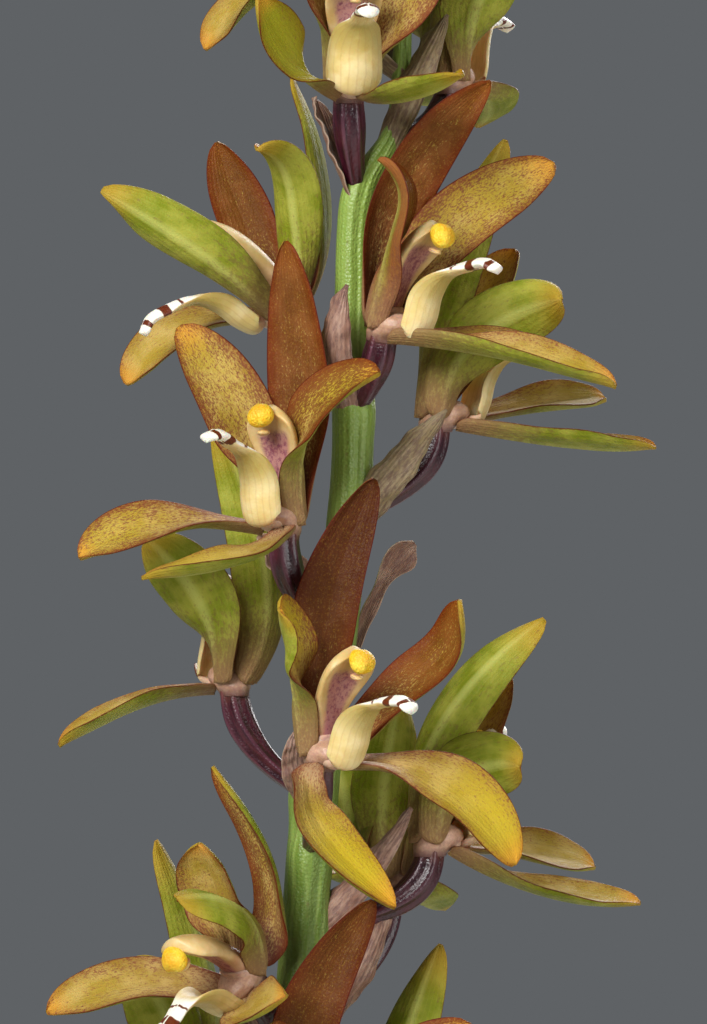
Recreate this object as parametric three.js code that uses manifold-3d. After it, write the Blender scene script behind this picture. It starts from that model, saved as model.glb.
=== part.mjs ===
// A potted Govenia, a Mexican woodland orchid, in flower: a clay pot of soil, a corm wrapped
// in two sheaths, two pleated leaves and one tall stem that ends in a raceme of sixteen
// olive and red-brown blooms with a knot of buds above them.
// Units are millimetres, +Z is up, and the origin is the middle of the pot's foot.
import * as THREE from "three";
import { mergeVertices } from "three/addons/utils/BufferGeometryUtils.js";
import Module from "manifold-3d";

const wasm = await Module();
wasm.setup();

// Driving dimensions
const GAP = 0.3;
const POT = { height: 130, foot: 48, shoulder: 66, rim: 73.5, rimHeight: 27 };
const DRAIN = { count: 4, radius: 4.5, circle: 26, sides: 10 };
const SOIL = { top: 114, heap: 2.4, lumps: 1.5 };
const HOLE = { radius: 18.6, floor: 82 };
const CORM = { radius: 12.6, height: 24 };
const LEAF = { width: 78, thick: 1.1, petiole: 7.4, petioleThick: 3.4, pleat: 2.2, wave: 3 };
const OVARY = { stalk: 0.9, neck: 1.2, belly: 1.75, mouth: 1.5 };
const SEAT = { wide: 2.4, deep: 3.1, height: 1.3 };
const TEPAL = {
  thick: 1,
  dorsal: { width: 7.8, foot: 0.45, peak: 0.52, blunt: 0.75, cup: 0.26 },
  petal: { width: 8.4, foot: 0.46, peak: 0.62, blunt: 0.6, cup: 0.2 },
  sepal: { width: 8, foot: 0.42, peak: 0.6, blunt: 0.6, cup: 0.22 },
};
const COLUMN = { forward: 5, height: 12.4, foot: 1.65, base: 1.15, wing: 2.5, thick: 1.25 };
const HINGE = { forward: 4.4, height: 2.35, wide: 1.5, thick: 0.6 };
const ANTHER = { wide: 1.5, deep: 1.25, tall: 1.5 };
const BRACT = { half: 1.7, thick: 0.9, cup: 0.35 };
const CLASP = { half: 3.8, thick: 1.1, cup: 0.5, off: 2.6, flare: 1.2 };
const KNOT_HEIGHT = 12;

// The pot's cavity from its floor to its mouth, as [radius, height]
const CAVITY = [[45, 8], [61.6, 99], [68.5, POT.height]];

// The sheaths from foot to mouth, as [outer radius, height]. Their feet stand in the hole,
// and slant is how far the mouth drops on the side away from bearing.
const LONG_SHEATH = {
  rings: [[15, HOLE.floor + GAP], [15.6, 128], [14.8, 152], [12.6, 188], [12.6, 208], [13.4, 226]],
  wall: 1,
  slant: 14,
  bearing: 250,
};
const SHORT_SHEATH = {
  rings: [[16.6, HOLE.floor + GAP], [17.9, 120], [17.2, 138], [17.2, 150]],
  wall: 1,
  slant: 12,
  bearing: 60,
};

// The lip's middle line as [forward, height], and its width at even steps along it
const LIP = {
  width: 6,
  thick: 1,
  cup: 0.3,
  route: [[3.7, 2.2], [6.3, 2.9], [7.9, 5.6], [9.2, 7.9], [12, 8.9], [15, 8.3]],
  widths: [0.5, 0.92, 1, 0.78, 0.5, 0.46, 0.16],
};

const MATERIAL = {
  clay: { color: 0xa8623f, roughness: 0.85 },
  soil: { color: 0x33261c, roughness: 0.95 },
  corm: { color: 0x8f8a5a, roughness: 0.7 },
  drySheath: { color: 0x8c7b5c, roughness: 0.8 },
  greenSheath: { color: 0x8d9a5c, roughness: 0.6 },
  leaf: { color: 0x3f6b25, roughness: 0.5 },
  stem: { color: 0x5f8a35, roughness: 0.45 },
  tepal: { color: 0x97762a, roughness: 0.5 },
  lip: { color: 0xe6d6a0, roughness: 0.45 },
  anther: { color: 0xf2b51c, roughness: 0.5 },
  bud: { color: 0x8f9440, roughness: 0.5 },
};

// The stem's middle line, from the corm to the tip of the raceme, as [x, y, z, radius].
// It leans a little to the right in the raceme, and thins at each bloom.
const STEM = [
  [0.5, -5, 106.7, 3.6],
  [0.5, -5, 170, 3.6],
  [-0.5, -4.5, 240, 3.4],
  [-3, -3, 320, 3.1],
  [-2.5, -1, 400, 2.9],
  [0.3, 0, 450, 2.7],
  [2.1, 0, 476, 2.6],
  [4.1, 0, 500, 2.5],
  [6, 0, 515, 2.4],
  [7.9, 0, 533, 2.35],
  [8.1, 0, 553, 2.1],
  [8.9, 0, 565, 1.9],
  [12.6, 0.4, 572, 1.05],
  [13.7, 0.8, 584, 0.95],
  [13.6, 0.6, 599, 0.85],
  [13, 0.4, 606, 0.8],
];

// Each bloom: node is the height where its stalk leaves the stem, base is the top of its
// ovary, and faces is the level direction that it looks in. Every tepal runs from the base
// through mid to tip, both counted from the base; look is the side that its inner face
// turns to, and recurve bends its tip back by that many degrees. petals and sepals name the
// one on the bloom's right hand first. droop turns the lip down, and nod tips the column and
// the lip forwards together.
const BLOOMS = [
  {
    node: 564.5, base: [7.6, -4, 575.4], faces: [0.15, -0.99],
    dorsal: { mid: [0.2, 2.4, 14.2], tip: [1.7, 4, 29.2] },
    petals: [
      { mid: [-3, -1, 10.9], tip: [-5.6, -3, 22], look: [0.8, -0.6, 0] },
      { mid: [5.3, 0, 8.7], tip: [11.3, -1, 18], look: [-0.5, -0.85, 0] },
    ],
    sepals: [
      { mid: [-6.2, -8, 3.4], tip: [-9.8, -14, 9.6], look: [0.3, -0.9, 0.5] },
      { mid: [6.4, -9, -0.6], tip: [12.4, -15, 1.2], look: [0.1, -0.2, 1] },
    ],
    bract: [[-3, -1.4, 5.6], [-5, -1.8, 11]],
  },
  {
    node: 545, base: [1.2, 3.4, 551.6], faces: [-0.95, -0.3], nod: 24, droop: 14,
    dorsal: { mid: [3.8, 0.4, 12.4], tip: [0, 1, 26.6], look: [-1, 0.1, 0] },
    petals: [
      { mid: [-4.2, 4, 8.2], tip: [-9, 5, 18.3], look: [0, -1, 0] },
      { mid: [0.2, -4, 9.6], tip: [-1.9, -5.6, 21.6], look: [0.3, 1, 0], recurve: 70 },
    ],
    sepals: [
      { mid: [-11.4, 3.4, -1.6], tip: [-18.6, 4, -7.8], look: [0.2, -0.5, 0.8] },
      { mid: [-9.2, -10, 6], tip: [-20.7, -10, 13.2], look: [0.1, 0.9, 0.4] },
    ],
    bract: [[-5, 0.4, 2], [-9, 2.4, 5]],
  },
  {
    node: 540.5, base: [11.4, -5, 549.1], faces: [0.8, -0.6],
    dorsal: { mid: [1.4, 2.6, 15], tip: [12, 2, 28], look: [0.45, -0.85, 0] },
    petals: [
      { mid: [-1.4, -4.8, 10], tip: [1.4, -6.6, 20.6], look: [0.7, 0.7, 0], recurve: 75 },
      { mid: [6.8, 2.5, 10.6], tip: [19.1, 5, 19.1], look: [-0.2, -0.95, 0.2] },
    ],
    sepals: [
      { mid: [13.4, -5.6, -2.4], tip: [25.4, -6.6, -6], look: [-0.1, -0.4, 0.9] },
      { mid: [12.4, 0.4, -1.3], tip: [22.4, 0.4, -3.4], look: [0, -0.3, 1] },
    ],
    bract: [[-2.6, -3.4, 6.6], [-0.4, -4.4, 14]],
  },
  {
    node: 515.8, base: [0.6, -7, 527.4], faces: [-0.6, -0.8],
    dorsal: { mid: [1.9, 1.6, 15.6], tip: [0, 1, 31.9], look: [-0.3, -0.95, 0] },
    petals: [
      { mid: [-4.3, 2, 11.1], tip: [-11.7, 3, 22.6], look: [0.2, -0.95, 0.1] },
      { mid: [2.7, -3.6, 11.7], tip: [10.4, -8, 17.1], look: [-0.4, -0.6, 0.7] },
    ],
    sepals: [
      { mid: [-13.6, -4, 0.6], tip: [-22.3, -5, -3], look: [0, -0.6, 0.8] },
      { mid: [-4.1, -9.4, -2.8], tip: [-15.2, -13, -5], look: [0, -0.1, 1] },
    ],
    bract: [[-5, 1.5, 7], [-8.6, 1.5, 11]],
  },
  {
    node: 528.6, base: [17.3, 2, 539.3], faces: [0.9, 0.43],
    dorsal: { mid: [1.1, 1, 15.3], tip: [7.9, 5, 32], look: [0.6, 0.8, 0] },
    petals: [
      { mid: [4.4, -2.6, 9.2], tip: [15.9, -3, 14.4], look: [0.2, 0.95, 0.1] },
      { mid: [3.7, 4.6, 10.3], tip: [9.2, 8.6, 19.8], look: [-0.5, -0.6, 0] },
    ],
    sepals: [
      { mid: [13.9, -1, -1.9], tip: [24.4, -3, -2.6], look: [0, 0, 1] },
      { mid: [12, 6, 2.2], tip: [19.4, 8, 2.9], look: [0, -0.4, 0.9] },
    ],
    bract: [[4.6, -3.2, 4.6], [10.8, -4, 12]],
  },
  {
    node: 498, base: [-5.1, 2, 509.9], faces: [-0.5, 0.87],
    dorsal: { mid: [3.3, 0.6, 12.6], tip: [-2.4, 2, 29.6], look: [-0.5, 0.85, 0] },
    petals: [
      { mid: [2.9, 5, 9], tip: [2.7, 10, 16], look: [-0.9, 0.2, 0] },
      { mid: [-3.4, -4, 9], tip: [-9.6, -6, 16.8], look: [0.3, 0.95, 0] },
    ],
    sepals: [
      { mid: [-1.5, 10, 0.4], tip: [-0.5, 19, 1.4], look: [0.1, -0.2, 1] },
      { mid: [-10.7, -3, -1.7], tip: [-19.3, -5, -6.3], look: [0, 0, 1] },
    ],
    bract: [[-1.6, -3.4, 4], [-1.6, -4.4, 8]],
  },
  {
    node: 491.3, base: [4.5, -10, 502.2], faces: [0.62, -0.78],
    dorsal: { mid: [0.4, 2, 15.8], tip: [5.9, 3.4, 31], look: [0.1, -1, 0] },
    petals: [
      { mid: [-1.9, -2.6, 11.3], tip: [-4.3, -8, 16.8], look: [0.5, -0.5, 0.5] },
      { mid: [9.4, 0.6, 7.6], tip: [19, 2.6, 15.4], look: [-0.2, -0.9, 0.3], recurve: -55 },
    ],
    sepals: [
      { mid: [0, -5.6, -6.2], tip: [8.6, -7.5, -15.1], look: [0, -1, 0.3] },
      { mid: [13.8, -4, -2.4], tip: [21.2, -4.4, -11], look: [0.2, -0.85, 0.5] },
    ],
    bract: [[4, 2, 10], [9, 4, 21]],
  },
  {
    node: 483.5, base: [16.7, 4, 491.9], faces: [0.88, 0.47],
    dorsal: { mid: [1.3, 1, 13.3], tip: [12.9, 2, 25.6], look: [0.5, 0.8, -0.3] },
    petals: [
      { mid: [3.3, -3.4, 7.8], tip: [11.6, -4.4, 10], look: [0.1, 1, 0.1] },
      { mid: [4.2, 4.6, 10.6], tip: [8.8, 6.6, 19.4], look: [-0.5, -0.7, 0] },
    ],
    sepals: [
      { mid: [12.6, -1, -4.7], tip: [23.4, -3, -5.9], look: [0, -0.2, 1] },
      { mid: [10.9, 5, -0.8], tip: [18.8, 7, -2.7], look: [0, -0.5, 0.9] },
    ],
    bract: [[6, -1, 5.4], [12, -0.4, 13]],
  },
  {
    node: 466.9, base: [-3.4, -6, 478.2], faces: [-0.6, -0.8], nod: 50,
    dorsal: { mid: [2.8, 1, 10.4], tip: [-4, 2, 23.2], look: [-0.9, -0.3, 0] },
    petals: [
      { mid: [-3.4, 0.2, 8.6], tip: [-5.4, -2.6, 15], look: [-0.4, -0.6, -0.6] },
      { mid: [-0.8, -6.6, 7.6], tip: [-7.4, -13, 9.6], look: [-0.5, 0.3, -0.9] },
    ],
    sepals: [
      { mid: [-11.6, -2, -0.6], tip: [-22, -4, -3.4], look: [0, -0.6, 0.8] },
      { mid: [0.4, -7.6, -2.6], tip: [4.4, -14, -0.6], look: [-0.3, -0.6, 0.6] },
    ],
    bract: [[-5, 1, 6], [-8, 2, 13]],
  },
  {
    node: 448, base: [2.4, -9, 457.4], faces: [0.35, -0.94],
    dorsal: { mid: [0.3, 2.4, 15], tip: [7.9, 3, 29.4], look: [0.1, -1, 0] },
    petals: [
      { mid: [-1.9, -2.6, 9], tip: [-3.6, -7, 16.4], look: [0.6, -0.5, 0.4] },
      { mid: [8.6, 1, 8], tip: [18.8, 2, 15.8], look: [-0.1, -0.95, 0.3] },
    ],
    sepals: [
      { mid: [-5, -7, -5], tip: [-6, -11, -15], look: [0, -0.9, 0.5] },
      { mid: [10, -6, -3], tip: [19, -8, -9], look: [0.2, -0.8, 0.5] },
    ],
    bract: [[5, -2, 5], [10, -2.4, 10]],
  },
  {
    node: 571, base: [18.9, 5, 577.1], faces: [0.45, 0.89],
    dorsal: { mid: [1, -1.6, 13], tip: [4.5, 2, 26], look: [0.4, 0.9, 0] },
    petals: [
      { mid: [2.9, -2.8, 8.7], tip: [7.6, -4, 17.6], look: [-0.2, 0.95, 0] },
      { mid: [-3.2, 2.6, 9.6], tip: [-4.6, 6, 19], look: [0.5, 0.8, 0] },
    ],
    sepals: [
      { mid: [4.6, 9, -1], tip: [3.6, 19, -3], look: [0, 0, 1] },
      { mid: [-1, 10, -0.6], tip: [-5, 19, 0], look: [0, 0, 1] },
    ],
    bract: [[2.4, -1.8, 6.4], [6.4, -3, 13.6]],
  },
  {
    node: 471.3, base: [12.2, 7.8, 487.6], faces: [0.2, 0.98],
    dorsal: { mid: [-0.6, -0.8, 11], tip: [1.4, 4, 21.5], look: [0, 1, 0] },
    petals: [
      { mid: [4.6, 2.6, 7.4], tip: [7.4, 10.4, 13], look: [-0.6, 0.7, 0] },
      { mid: [-4.4, 1.6, 8], tip: [-6, 8.6, 15.4], look: [0.5, 0.8, 0] },
    ],
    sepals: [
      { mid: [3.4, 8, -2], tip: [6.6, 17, -4], look: [0, 0, 1] },
      { mid: [-3.6, 8, -0.4], tip: [-7, 16, 2], look: [0, 0, 1] },
    ],
    bract: [[6.4, 0.4, 6], [10.4, 3, 15]],
  },
];

// The blooms past these, below and above, take the form of one of them, turned about the
// vertical by turn degrees.
const TURNED_BLOOMS = [
  { like: 5, node: 452, base: [-11, 6, 463], turn: 28 },
  { like: 4, node: 438, base: [11.5, 4, 448.6], turn: 14 },
  { like: 1, node: 579, base: [8, 7, 590], turn: -16 },
  { like: 4, node: 590, base: [20.6, -1.6, 601], turn: -58 },
];

// Buds above the blooms: height on the knot, bearing, lean from upright and length
const BUDS = [
  [1, 200, 48, 15],
  [2.6, 330, 44, 14],
  [4.6, 85, 40, 12],
  [7, 220, 34, 11],
  [9, 340, 28, 9.5],
  [10.6, 120, 14, 8.5],
];

// The leaves' middle lines, from the corm through the sheath's mouth to the tip
const LEAVES = {
  leaf_left: [[-5.4, 2, 106.8], [-5.8, 2.4, 226], [-34, -12, 352], [-118, -46, 416], [-196, -84, 318]],
  leaf_right: [[5.4, 3.4, 106.8], [5.8, 3.8, 226], [40, 18, 342], [112, 52, 398], [182, 88, 286]],
};

// Two empty bracts that clasp the bare stem: height, bearing and length
const CLASPS = [
  [292, 215, 62],
  [372, 40, 50],
];

const vec = (a) => new THREE.Vector3(...a);
const toward = (from, direction, distance) => from.clone().addScaledVector(direction, distance);
const mix = (a, b, t) => a + (b - a) * t;
const ease = (t, from, to) => THREE.MathUtils.smoothstep(t, from, to);
const radians = THREE.MathUtils.degToRad;
const onBearing = (angle) => new THREE.Vector3(Math.cos(angle), Math.sin(angle), 0);

// Solids. A closed mesh becomes a solid once its shared corners are merged and the
// triangles that closed up at a point are dropped.
function solidOf(positions, triangles) {
  const geometry = new THREE.BufferGeometry();
  geometry.setAttribute("position", new THREE.Float32BufferAttribute(positions, 3));
  geometry.setIndex(triangles);
  return solidOfGeometry(geometry);
}

function solidOfGeometry(geometry) {
  geometry.deleteAttribute("normal");
  geometry.deleteAttribute("uv");
  const merged = mergeVertices(geometry, 1e-3);
  const index = merged.index.array;
  const kept = [];
  for (let i = 0; i < index.length; i += 3) {
    const [a, b, c] = [index[i], index[i + 1], index[i + 2]];
    if (a !== b && b !== c && c !== a) kept.push(a, b, c);
  }
  return new wasm.Manifold(
    new wasm.Mesh({
      numProp: 3,
      vertProperties: merged.attributes.position.array,
      triVerts: new Uint32Array(kept),
    }),
  );
}

const unite = (solids) => solids.reduce((a, b) => a.add(b));

function meshOf(name, solid, look) {
  const made = solid.getMesh();
  const positions = new Float32Array(made.numVert * 3);
  for (let i = 0; i < made.numVert; i++)
    positions.set(made.vertProperties.subarray(i * made.numProp, i * made.numProp + 3), i * 3);
  const geometry = new THREE.BufferGeometry();
  geometry.setAttribute("position", new THREE.BufferAttribute(positions, 3));
  geometry.setIndex(new THREE.BufferAttribute(made.triVerts, 1));
  geometry.computeVertexNormals();
  const mesh = new THREE.Mesh(geometry, new THREE.MeshStandardMaterial({ metalness: 0, ...look }));
  mesh.name = name;
  return mesh;
}

// A tube with flat ends through rings of corners. Each station gives a point, the way that
// the tube runs there, and its half-width across that way and square to both.
function tube(stations, sides) {
  const positions = [];
  const triangles = [];
  for (const { at, along, across, wide, deep } of stations) {
    const square = new THREE.Vector3().crossVectors(along, across).normalize();
    for (let k = 0; k < sides; k++) {
      const angle = (2 * Math.PI * k) / sides;
      const p = toward(toward(at, across, wide * Math.cos(angle)), square, deep * Math.sin(angle));
      positions.push(p.x, p.y, p.z);
    }
  }
  const last = (stations.length - 1) * sides;
  for (let i = 0; i < last; i += sides)
    for (let k = 0; k < sides; k++) {
      const n = (k + 1) % sides;
      triangles.push(i + k, i + n, i + sides + n, i + k, i + sides + n, i + sides + k);
    }
  for (let k = 1; k < sides - 1; k++) triangles.push(0, k + 1, k, last, last + k, last + k + 1);
  return solidOf(positions, triangles);
}

// A blade: a sheet of two faces that meet along its edges, so it is a lens in section.
// Both faces are split into triangles alike, which keeps a waved blade from crossing itself.
function blade(stations, columns) {
  const positions = [];
  const triangles = [];
  const rows = stations.length;
  const stride = columns + 1;
  for (const face of [1, -1])
    for (const { at, across, inner, half, thick, cup, relief } of stations)
      for (let j = 0; j <= columns; j++) {
        const v = (2 * j) / columns - 1;
        const rise = cup * half * v * v + (relief ? relief(v) : 0);
        const offset = rise + (face * thick * (1 - v * v)) / 2;
        const p = toward(toward(at, across, half * v), inner, offset);
        positions.push(p.x, p.y, p.z);
      }
  const back = rows * stride;
  for (let i = 0; i < rows - 1; i++)
    for (let j = 0; j < columns; j++) {
      const [a, b] = [i * stride + j, i * stride + j + 1];
      const [d, c] = [a + stride, b + stride];
      triangles.push(a, b, c, a, c, d);
      triangles.push(back + a, back + c, back + b, back + a, back + d, back + c);
    }
  for (const row of [0, rows - 1])
    for (let j = 0; j < columns; j++) {
      const [a, b] = [row * stride + j, row * stride + j + 1];
      if (row) triangles.push(a, b, back + b, a, back + b, back + a);
      else triangles.push(a, back + b, b, a, back + a, back + b);
    }
  return solidOf(positions, triangles);
}

// The line of a blade from base through mid to tip, with its across and inner directions.
// The inner face turns from hug at the base to look further on, and recurve bends the last
// part backwards.
function bladeLine({ base, mid, tip, look, hug = look, recurve = 0 }, shares) {
  const pull = mid.clone().multiplyScalar(2).addScaledVector(base, -0.5).addScaledVector(tip, -0.5);
  const curve = new THREE.QuadraticBezierCurve3(base, pull, tip);
  const at = base.clone();
  let before = base;
  return shares.map((t) => {
    const along = curve.getTangent(t);
    const facing = hug.clone().lerp(look, ease(t, 0.1, 0.55));
    const across = new THREE.Vector3().crossVectors(along, facing).normalize();
    const turn = -radians(recurve) * ease(t, 0.62, 1);
    const point = curve.getPoint(t);
    at.add(point.clone().sub(before).applyAxisAngle(across, turn));
    before = point;
    along.applyAxisAngle(across, turn);
    const inner = new THREE.Vector3().crossVectors(across, along).normalize();
    return { t, at: at.clone(), across, inner };
  });
}

// How wide a tepal is at share t: a narrow foot, widest at peak, and a blunt point.
function outline(t, foot, peak, blunt) {
  if (t < peak) return mix(foot, 1, ease(t, 0, peak));
  return Math.max(0.1, Math.pow(1 - Math.pow((t - peak) / (1 - peak), 2), blunt));
}

const TEPAL_SHARES = [0, 0.22, 0.44, 0.64, 0.8, 0.93, 1];

function tepal(line, { width, foot, peak, blunt, cup }) {
  const stations = bladeLine(line, TEPAL_SHARES).map((s) => {
    const half = (width / 2) * outline(s.t, foot, peak, blunt);
    const thick = TEPAL.thick * (1 - 0.5 * ease(s.t, 0.85, 1));
    return { ...s, half, thick, cup };
  });
  return blade(stations, 2);
}

// A bloom's own directions: out is where it faces, side its right hand, and up the way that
// its column stands. nod tips out and up forwards together.
function bloomFrame({ base, faces, nod = 0 }) {
  const level = new THREE.Vector3(faces[0], faces[1], 0).normalize();
  const side = new THREE.Vector3(level.y, -level.x, 0);
  const out = level.applyAxisAngle(side, -radians(nod));
  const up = new THREE.Vector3().crossVectors(side, out);
  const origin = vec(base);
  const place = (forward, height, right = 0) =>
    toward(toward(toward(origin, out, forward), up, height), side, right);
  return { origin, out, side, up, place };
}

// The column: a stalk that stands on the bloom's seat and arches forwards, winged at its top,
// with a foot that runs forwards to the hinge of the lip.
function columnSolid({ place, side, out }) {
  const { forward, height, foot, base, wing, thick } = COLUMN;
  const back = 0.2;
  const bend = place(0.4, 8);
  const curve = new THREE.QuadraticBezierCurve3(place(back, foot), bend, place(forward, height));
  const stalk = [0, 0.35, 0.7, 1].map((t) => ({
    at: curve.getPoint(t),
    along: curve.getTangent(t),
    across: side,
    wide: mix(base, wing, ease(t, 0.1, 0.9)),
    deep: mix(base, thick, t),
  }));
  const arm = [0, 1].map((t) => ({
    at: place(mix(back, HINGE.forward, t), HINGE.height),
    along: out,
    across: side,
    wide: mix(1, HINGE.wide, t),
    deep: HINGE.thick,
  }));
  return tube(stalk, 6).add(tube(arm, 4));
}

// The lip: a scoop that starts in the column's foot, rises and then bends forwards into a
// narrow tip. droop swings it down about its hinge.
function lipSolid({ place, side }, { droop = 0 }) {
  const hinge = place(HINGE.forward, HINGE.height);
  const swing = (p) => p.sub(hinge).applyAxisAngle(side, -radians(droop)).add(hinge);
  const route = LIP.route.map(([forward, height]) => swing(place(forward, height)));
  const curve = new THREE.CatmullRomCurve3(route, false, "centripetal");
  const stations = LIP.widths.map((w, i) => {
    const t = i / (LIP.widths.length - 1);
    const inner = new THREE.Vector3().crossVectors(side, curve.getTangent(t)).normalize();
    const half = (LIP.width * w) / 2;
    const cup = LIP.cup * (1 - ease(t, 0.4, 0.8));
    return { at: curve.getPoint(t), across: side, inner, half, thick: LIP.thick, cup };
  });
  return blade(stations, 2);
}

// The perianth: three sepals and two petals round a small seat on the ovary.
function perianthSolid(bloom, { origin, out, side, up, place }) {
  const seat = [
    { at: place(0, GAP), along: up, across: side, wide: OVARY.mouth, deep: OVARY.mouth },
    { at: place(0.9, SEAT.height), along: up, across: side, wide: SEAT.wide, deep: SEAT.deep },
  ];
  const line = ({ mid, tip, look, recurve }, base, hug) => ({
    base,
    mid: vec(mid).add(origin),
    tip: vec(tip).add(origin),
    look: look ? vec(look) : hug,
    hug,
    recurve,
  });
  const root = SEAT.height / 2;
  const parts = [tube(seat, 8), tepal(line(bloom.dorsal, place(-1.9, root), out), TEPAL.dorsal)];
  [1, -1].forEach((hand, i) => {
    const inward = side.clone().multiplyScalar(-hand);
    const upward = toward(up, side, -0.3 * hand);
    parts.push(tepal(line(bloom.petals[i], place(-0.2, root, 2 * hand), inward), TEPAL.petal));
    parts.push(tepal(line(bloom.sepals[i], place(2.3, root, 1.5 * hand), upward), TEPAL.sepal));
  });
  return unite(parts);
}

// The anther cap: a small egg that sits just off the column's end.
function antherSolid({ place, side, out, up }) {
  const ahead = toward(out.clone().multiplyScalar(0.75), up, 0.66).normalize();
  const lift = new THREE.Vector3().crossVectors(side, ahead);
  const middle = toward(place(COLUMN.forward, COLUMN.height), ahead, ANTHER.deep + GAP);
  const turn = new THREE.Matrix4().makeBasis(
    side.clone().multiplyScalar(-ANTHER.wide),
    lift.multiplyScalar(ANTHER.tall),
    ahead.multiplyScalar(ANTHER.deep),
  );
  const egg = new THREE.SphereGeometry(1, 6, 4).applyMatrix4(turn);
  return solidOfGeometry(egg.translate(middle.x, middle.y, middle.z));
}

// The stem: one long tapering tube, with each bloom's stalk and bract fused to it.
const stemPath = STEM.map(([x, y, z]) => new THREE.Vector3(x, y, z));
const stemCurve = new THREE.CatmullRomCurve3(stemPath, false, "centripetal");
const stemPoints = stemCurve.getPoints(STEM.length * 20);

function stemAt(height) {
  const offset = (p) => Math.abs(p.z - height);
  return stemPoints.reduce((best, p) => (offset(p) < offset(best) ? p : best)).clone();
}

function stemTube() {
  const north = new THREE.Vector3(0, 1, 0);
  const stations = stemPath.map((at, i) => {
    const along = stemCurve.getTangent(i / (STEM.length - 1));
    const across = new THREE.Vector3().crossVectors(along, north).normalize();
    const r = STEM[i][3];
    return { at, along, across, wide: r, deep: r };
  });
  return tube(stations, 8);
}

// A bloom's stalk, which swells into the ovary and ends square to the bloom's seat.
function stalk(bloom, { origin, side, up }) {
  const start = stemAt(bloom.node);
  const bend = toward(origin, up, -0.45 * start.distanceTo(origin));
  const curve = new THREE.QuadraticBezierCurve3(start, bend, origin);
  const radii = [OVARY.stalk, OVARY.neck, OVARY.belly, OVARY.mouth];
  const stations = radii.map((r, i) => {
    const t = i / (radii.length - 1);
    const along = t === 1 ? up : curve.getTangent(t);
    const across = toward(side, along, -side.dot(along)).normalize();
    return { at: curve.getPoint(t), along, across, wide: r, deep: r };
  });
  return tube(stations, 6);
}

// A bract: a narrow channelled blade that stands under a bloom's stalk.
function bractSolid({ node, bract }, { origin }) {
  const base = stemAt(node - 1.5);
  const [mid, tip] = bract.map((p) => vec(p).add(stemAt(node)));
  const look = origin.clone().sub(mid);
  const stations = bladeLine({ base, mid, tip, look }, [0, 0.3, 0.6, 0.85, 1]).map((s) => ({
    ...s,
    ...BRACT,
    half: BRACT.half * outline(s.t, 0.7, 0.4, 0.8),
  }));
  return blade(stations, 2);
}

// An empty bract: a pointed half sleeve against the bare stem.
function claspSolid([height, bearing, length]) {
  const facing = onBearing(radians(bearing));
  const across = onBearing(radians(bearing - 90));
  const inner = facing.clone().negate();
  const stations = [0, 0.35, 0.7, 0.9, 1].map((t) => ({
    ...CLASP,
    at: toward(stemAt(height + t * length), facing, CLASP.off + CLASP.flare * t),
    across,
    inner,
    half: CLASP.half * outline(t, 0.95, 0.3, 0.8),
  }));
  return blade(stations, 2);
}

// The knot of buds: closed blooms on short stalks round a short end of the raceme's axis.
function budKnot() {
  const [x, y, z, r] = STEM.at(-1);
  const foot = new THREE.Vector3(x, y, z + GAP);
  const upright = new THREE.Vector3(-0.08, 0, 1).normalize();
  const axis = [r, 0.5].map((radius, i) => ({
    at: toward(foot, upright, KNOT_HEIGHT * i),
    along: upright,
    across: onBearing(0),
    wide: radius,
    deep: radius,
  }));
  const buds = BUDS.map(([height, bearing, lean, length]) => {
    const tilt = radians(lean);
    const outward = onBearing(radians(bearing)).multiplyScalar(Math.sin(tilt));
    const along = toward(outward, upright, Math.cos(tilt)).normalize();
    const start = toward(foot, upright, height);
    const stations = [0.4, 0.7, 1.9, 1.7, 0.4].map((bulge, i) => ({
      at: toward(start, along, (length * i) / 4),
      along,
      across: onBearing(radians(bearing + 90)),
      wide: bulge,
      deep: bulge,
    }));
    return tube(stations, 6);
  });
  return unite([tube(axis, 6), ...buds]);
}

// A turned solid from its profile, as [radius, height] from foot to top on the outside and
// back to the axis.
function turned(profile, sides) {
  const points = profile.map(([r, z]) => new THREE.Vector2(r, z));
  return new THREE.LatheGeometry(points, sides).rotateX(Math.PI / 2);
}

// The pot: a turned clay wall with a rim band, and round drain holes in its floor.
function potSolid() {
  const { height, foot, shoulder, rim, rimHeight } = POT;
  const rimFoot = height - rimHeight;
  const floor = CAVITY[0][1];
  const outside = [[0, 0], [foot, 0], [foot + 1.2, 1.6], [shoulder, rimFoot]];
  const band = [[rim - 2, rimFoot + 1.5], [rim, height - 2], [rim - 1.5, height]];
  const body = turned([...outside, ...band, ...CAVITY.toReversed(), [0, floor]], 40);
  const holes = [];
  for (let i = 0; i < DRAIN.count; i++) {
    const centre = onBearing(((i + 0.5) / DRAIN.count) * 2 * Math.PI).multiplyScalar(DRAIN.circle);
    const hole = new THREE.CylinderGeometry(DRAIN.radius, DRAIN.radius, floor * 3, DRAIN.sides);
    holes.push(solidOfGeometry(hole.rotateX(Math.PI / 2).translate(centre.x, centre.y, 0)));
  }
  return solidOfGeometry(body).subtract(unite(holes));
}

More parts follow.
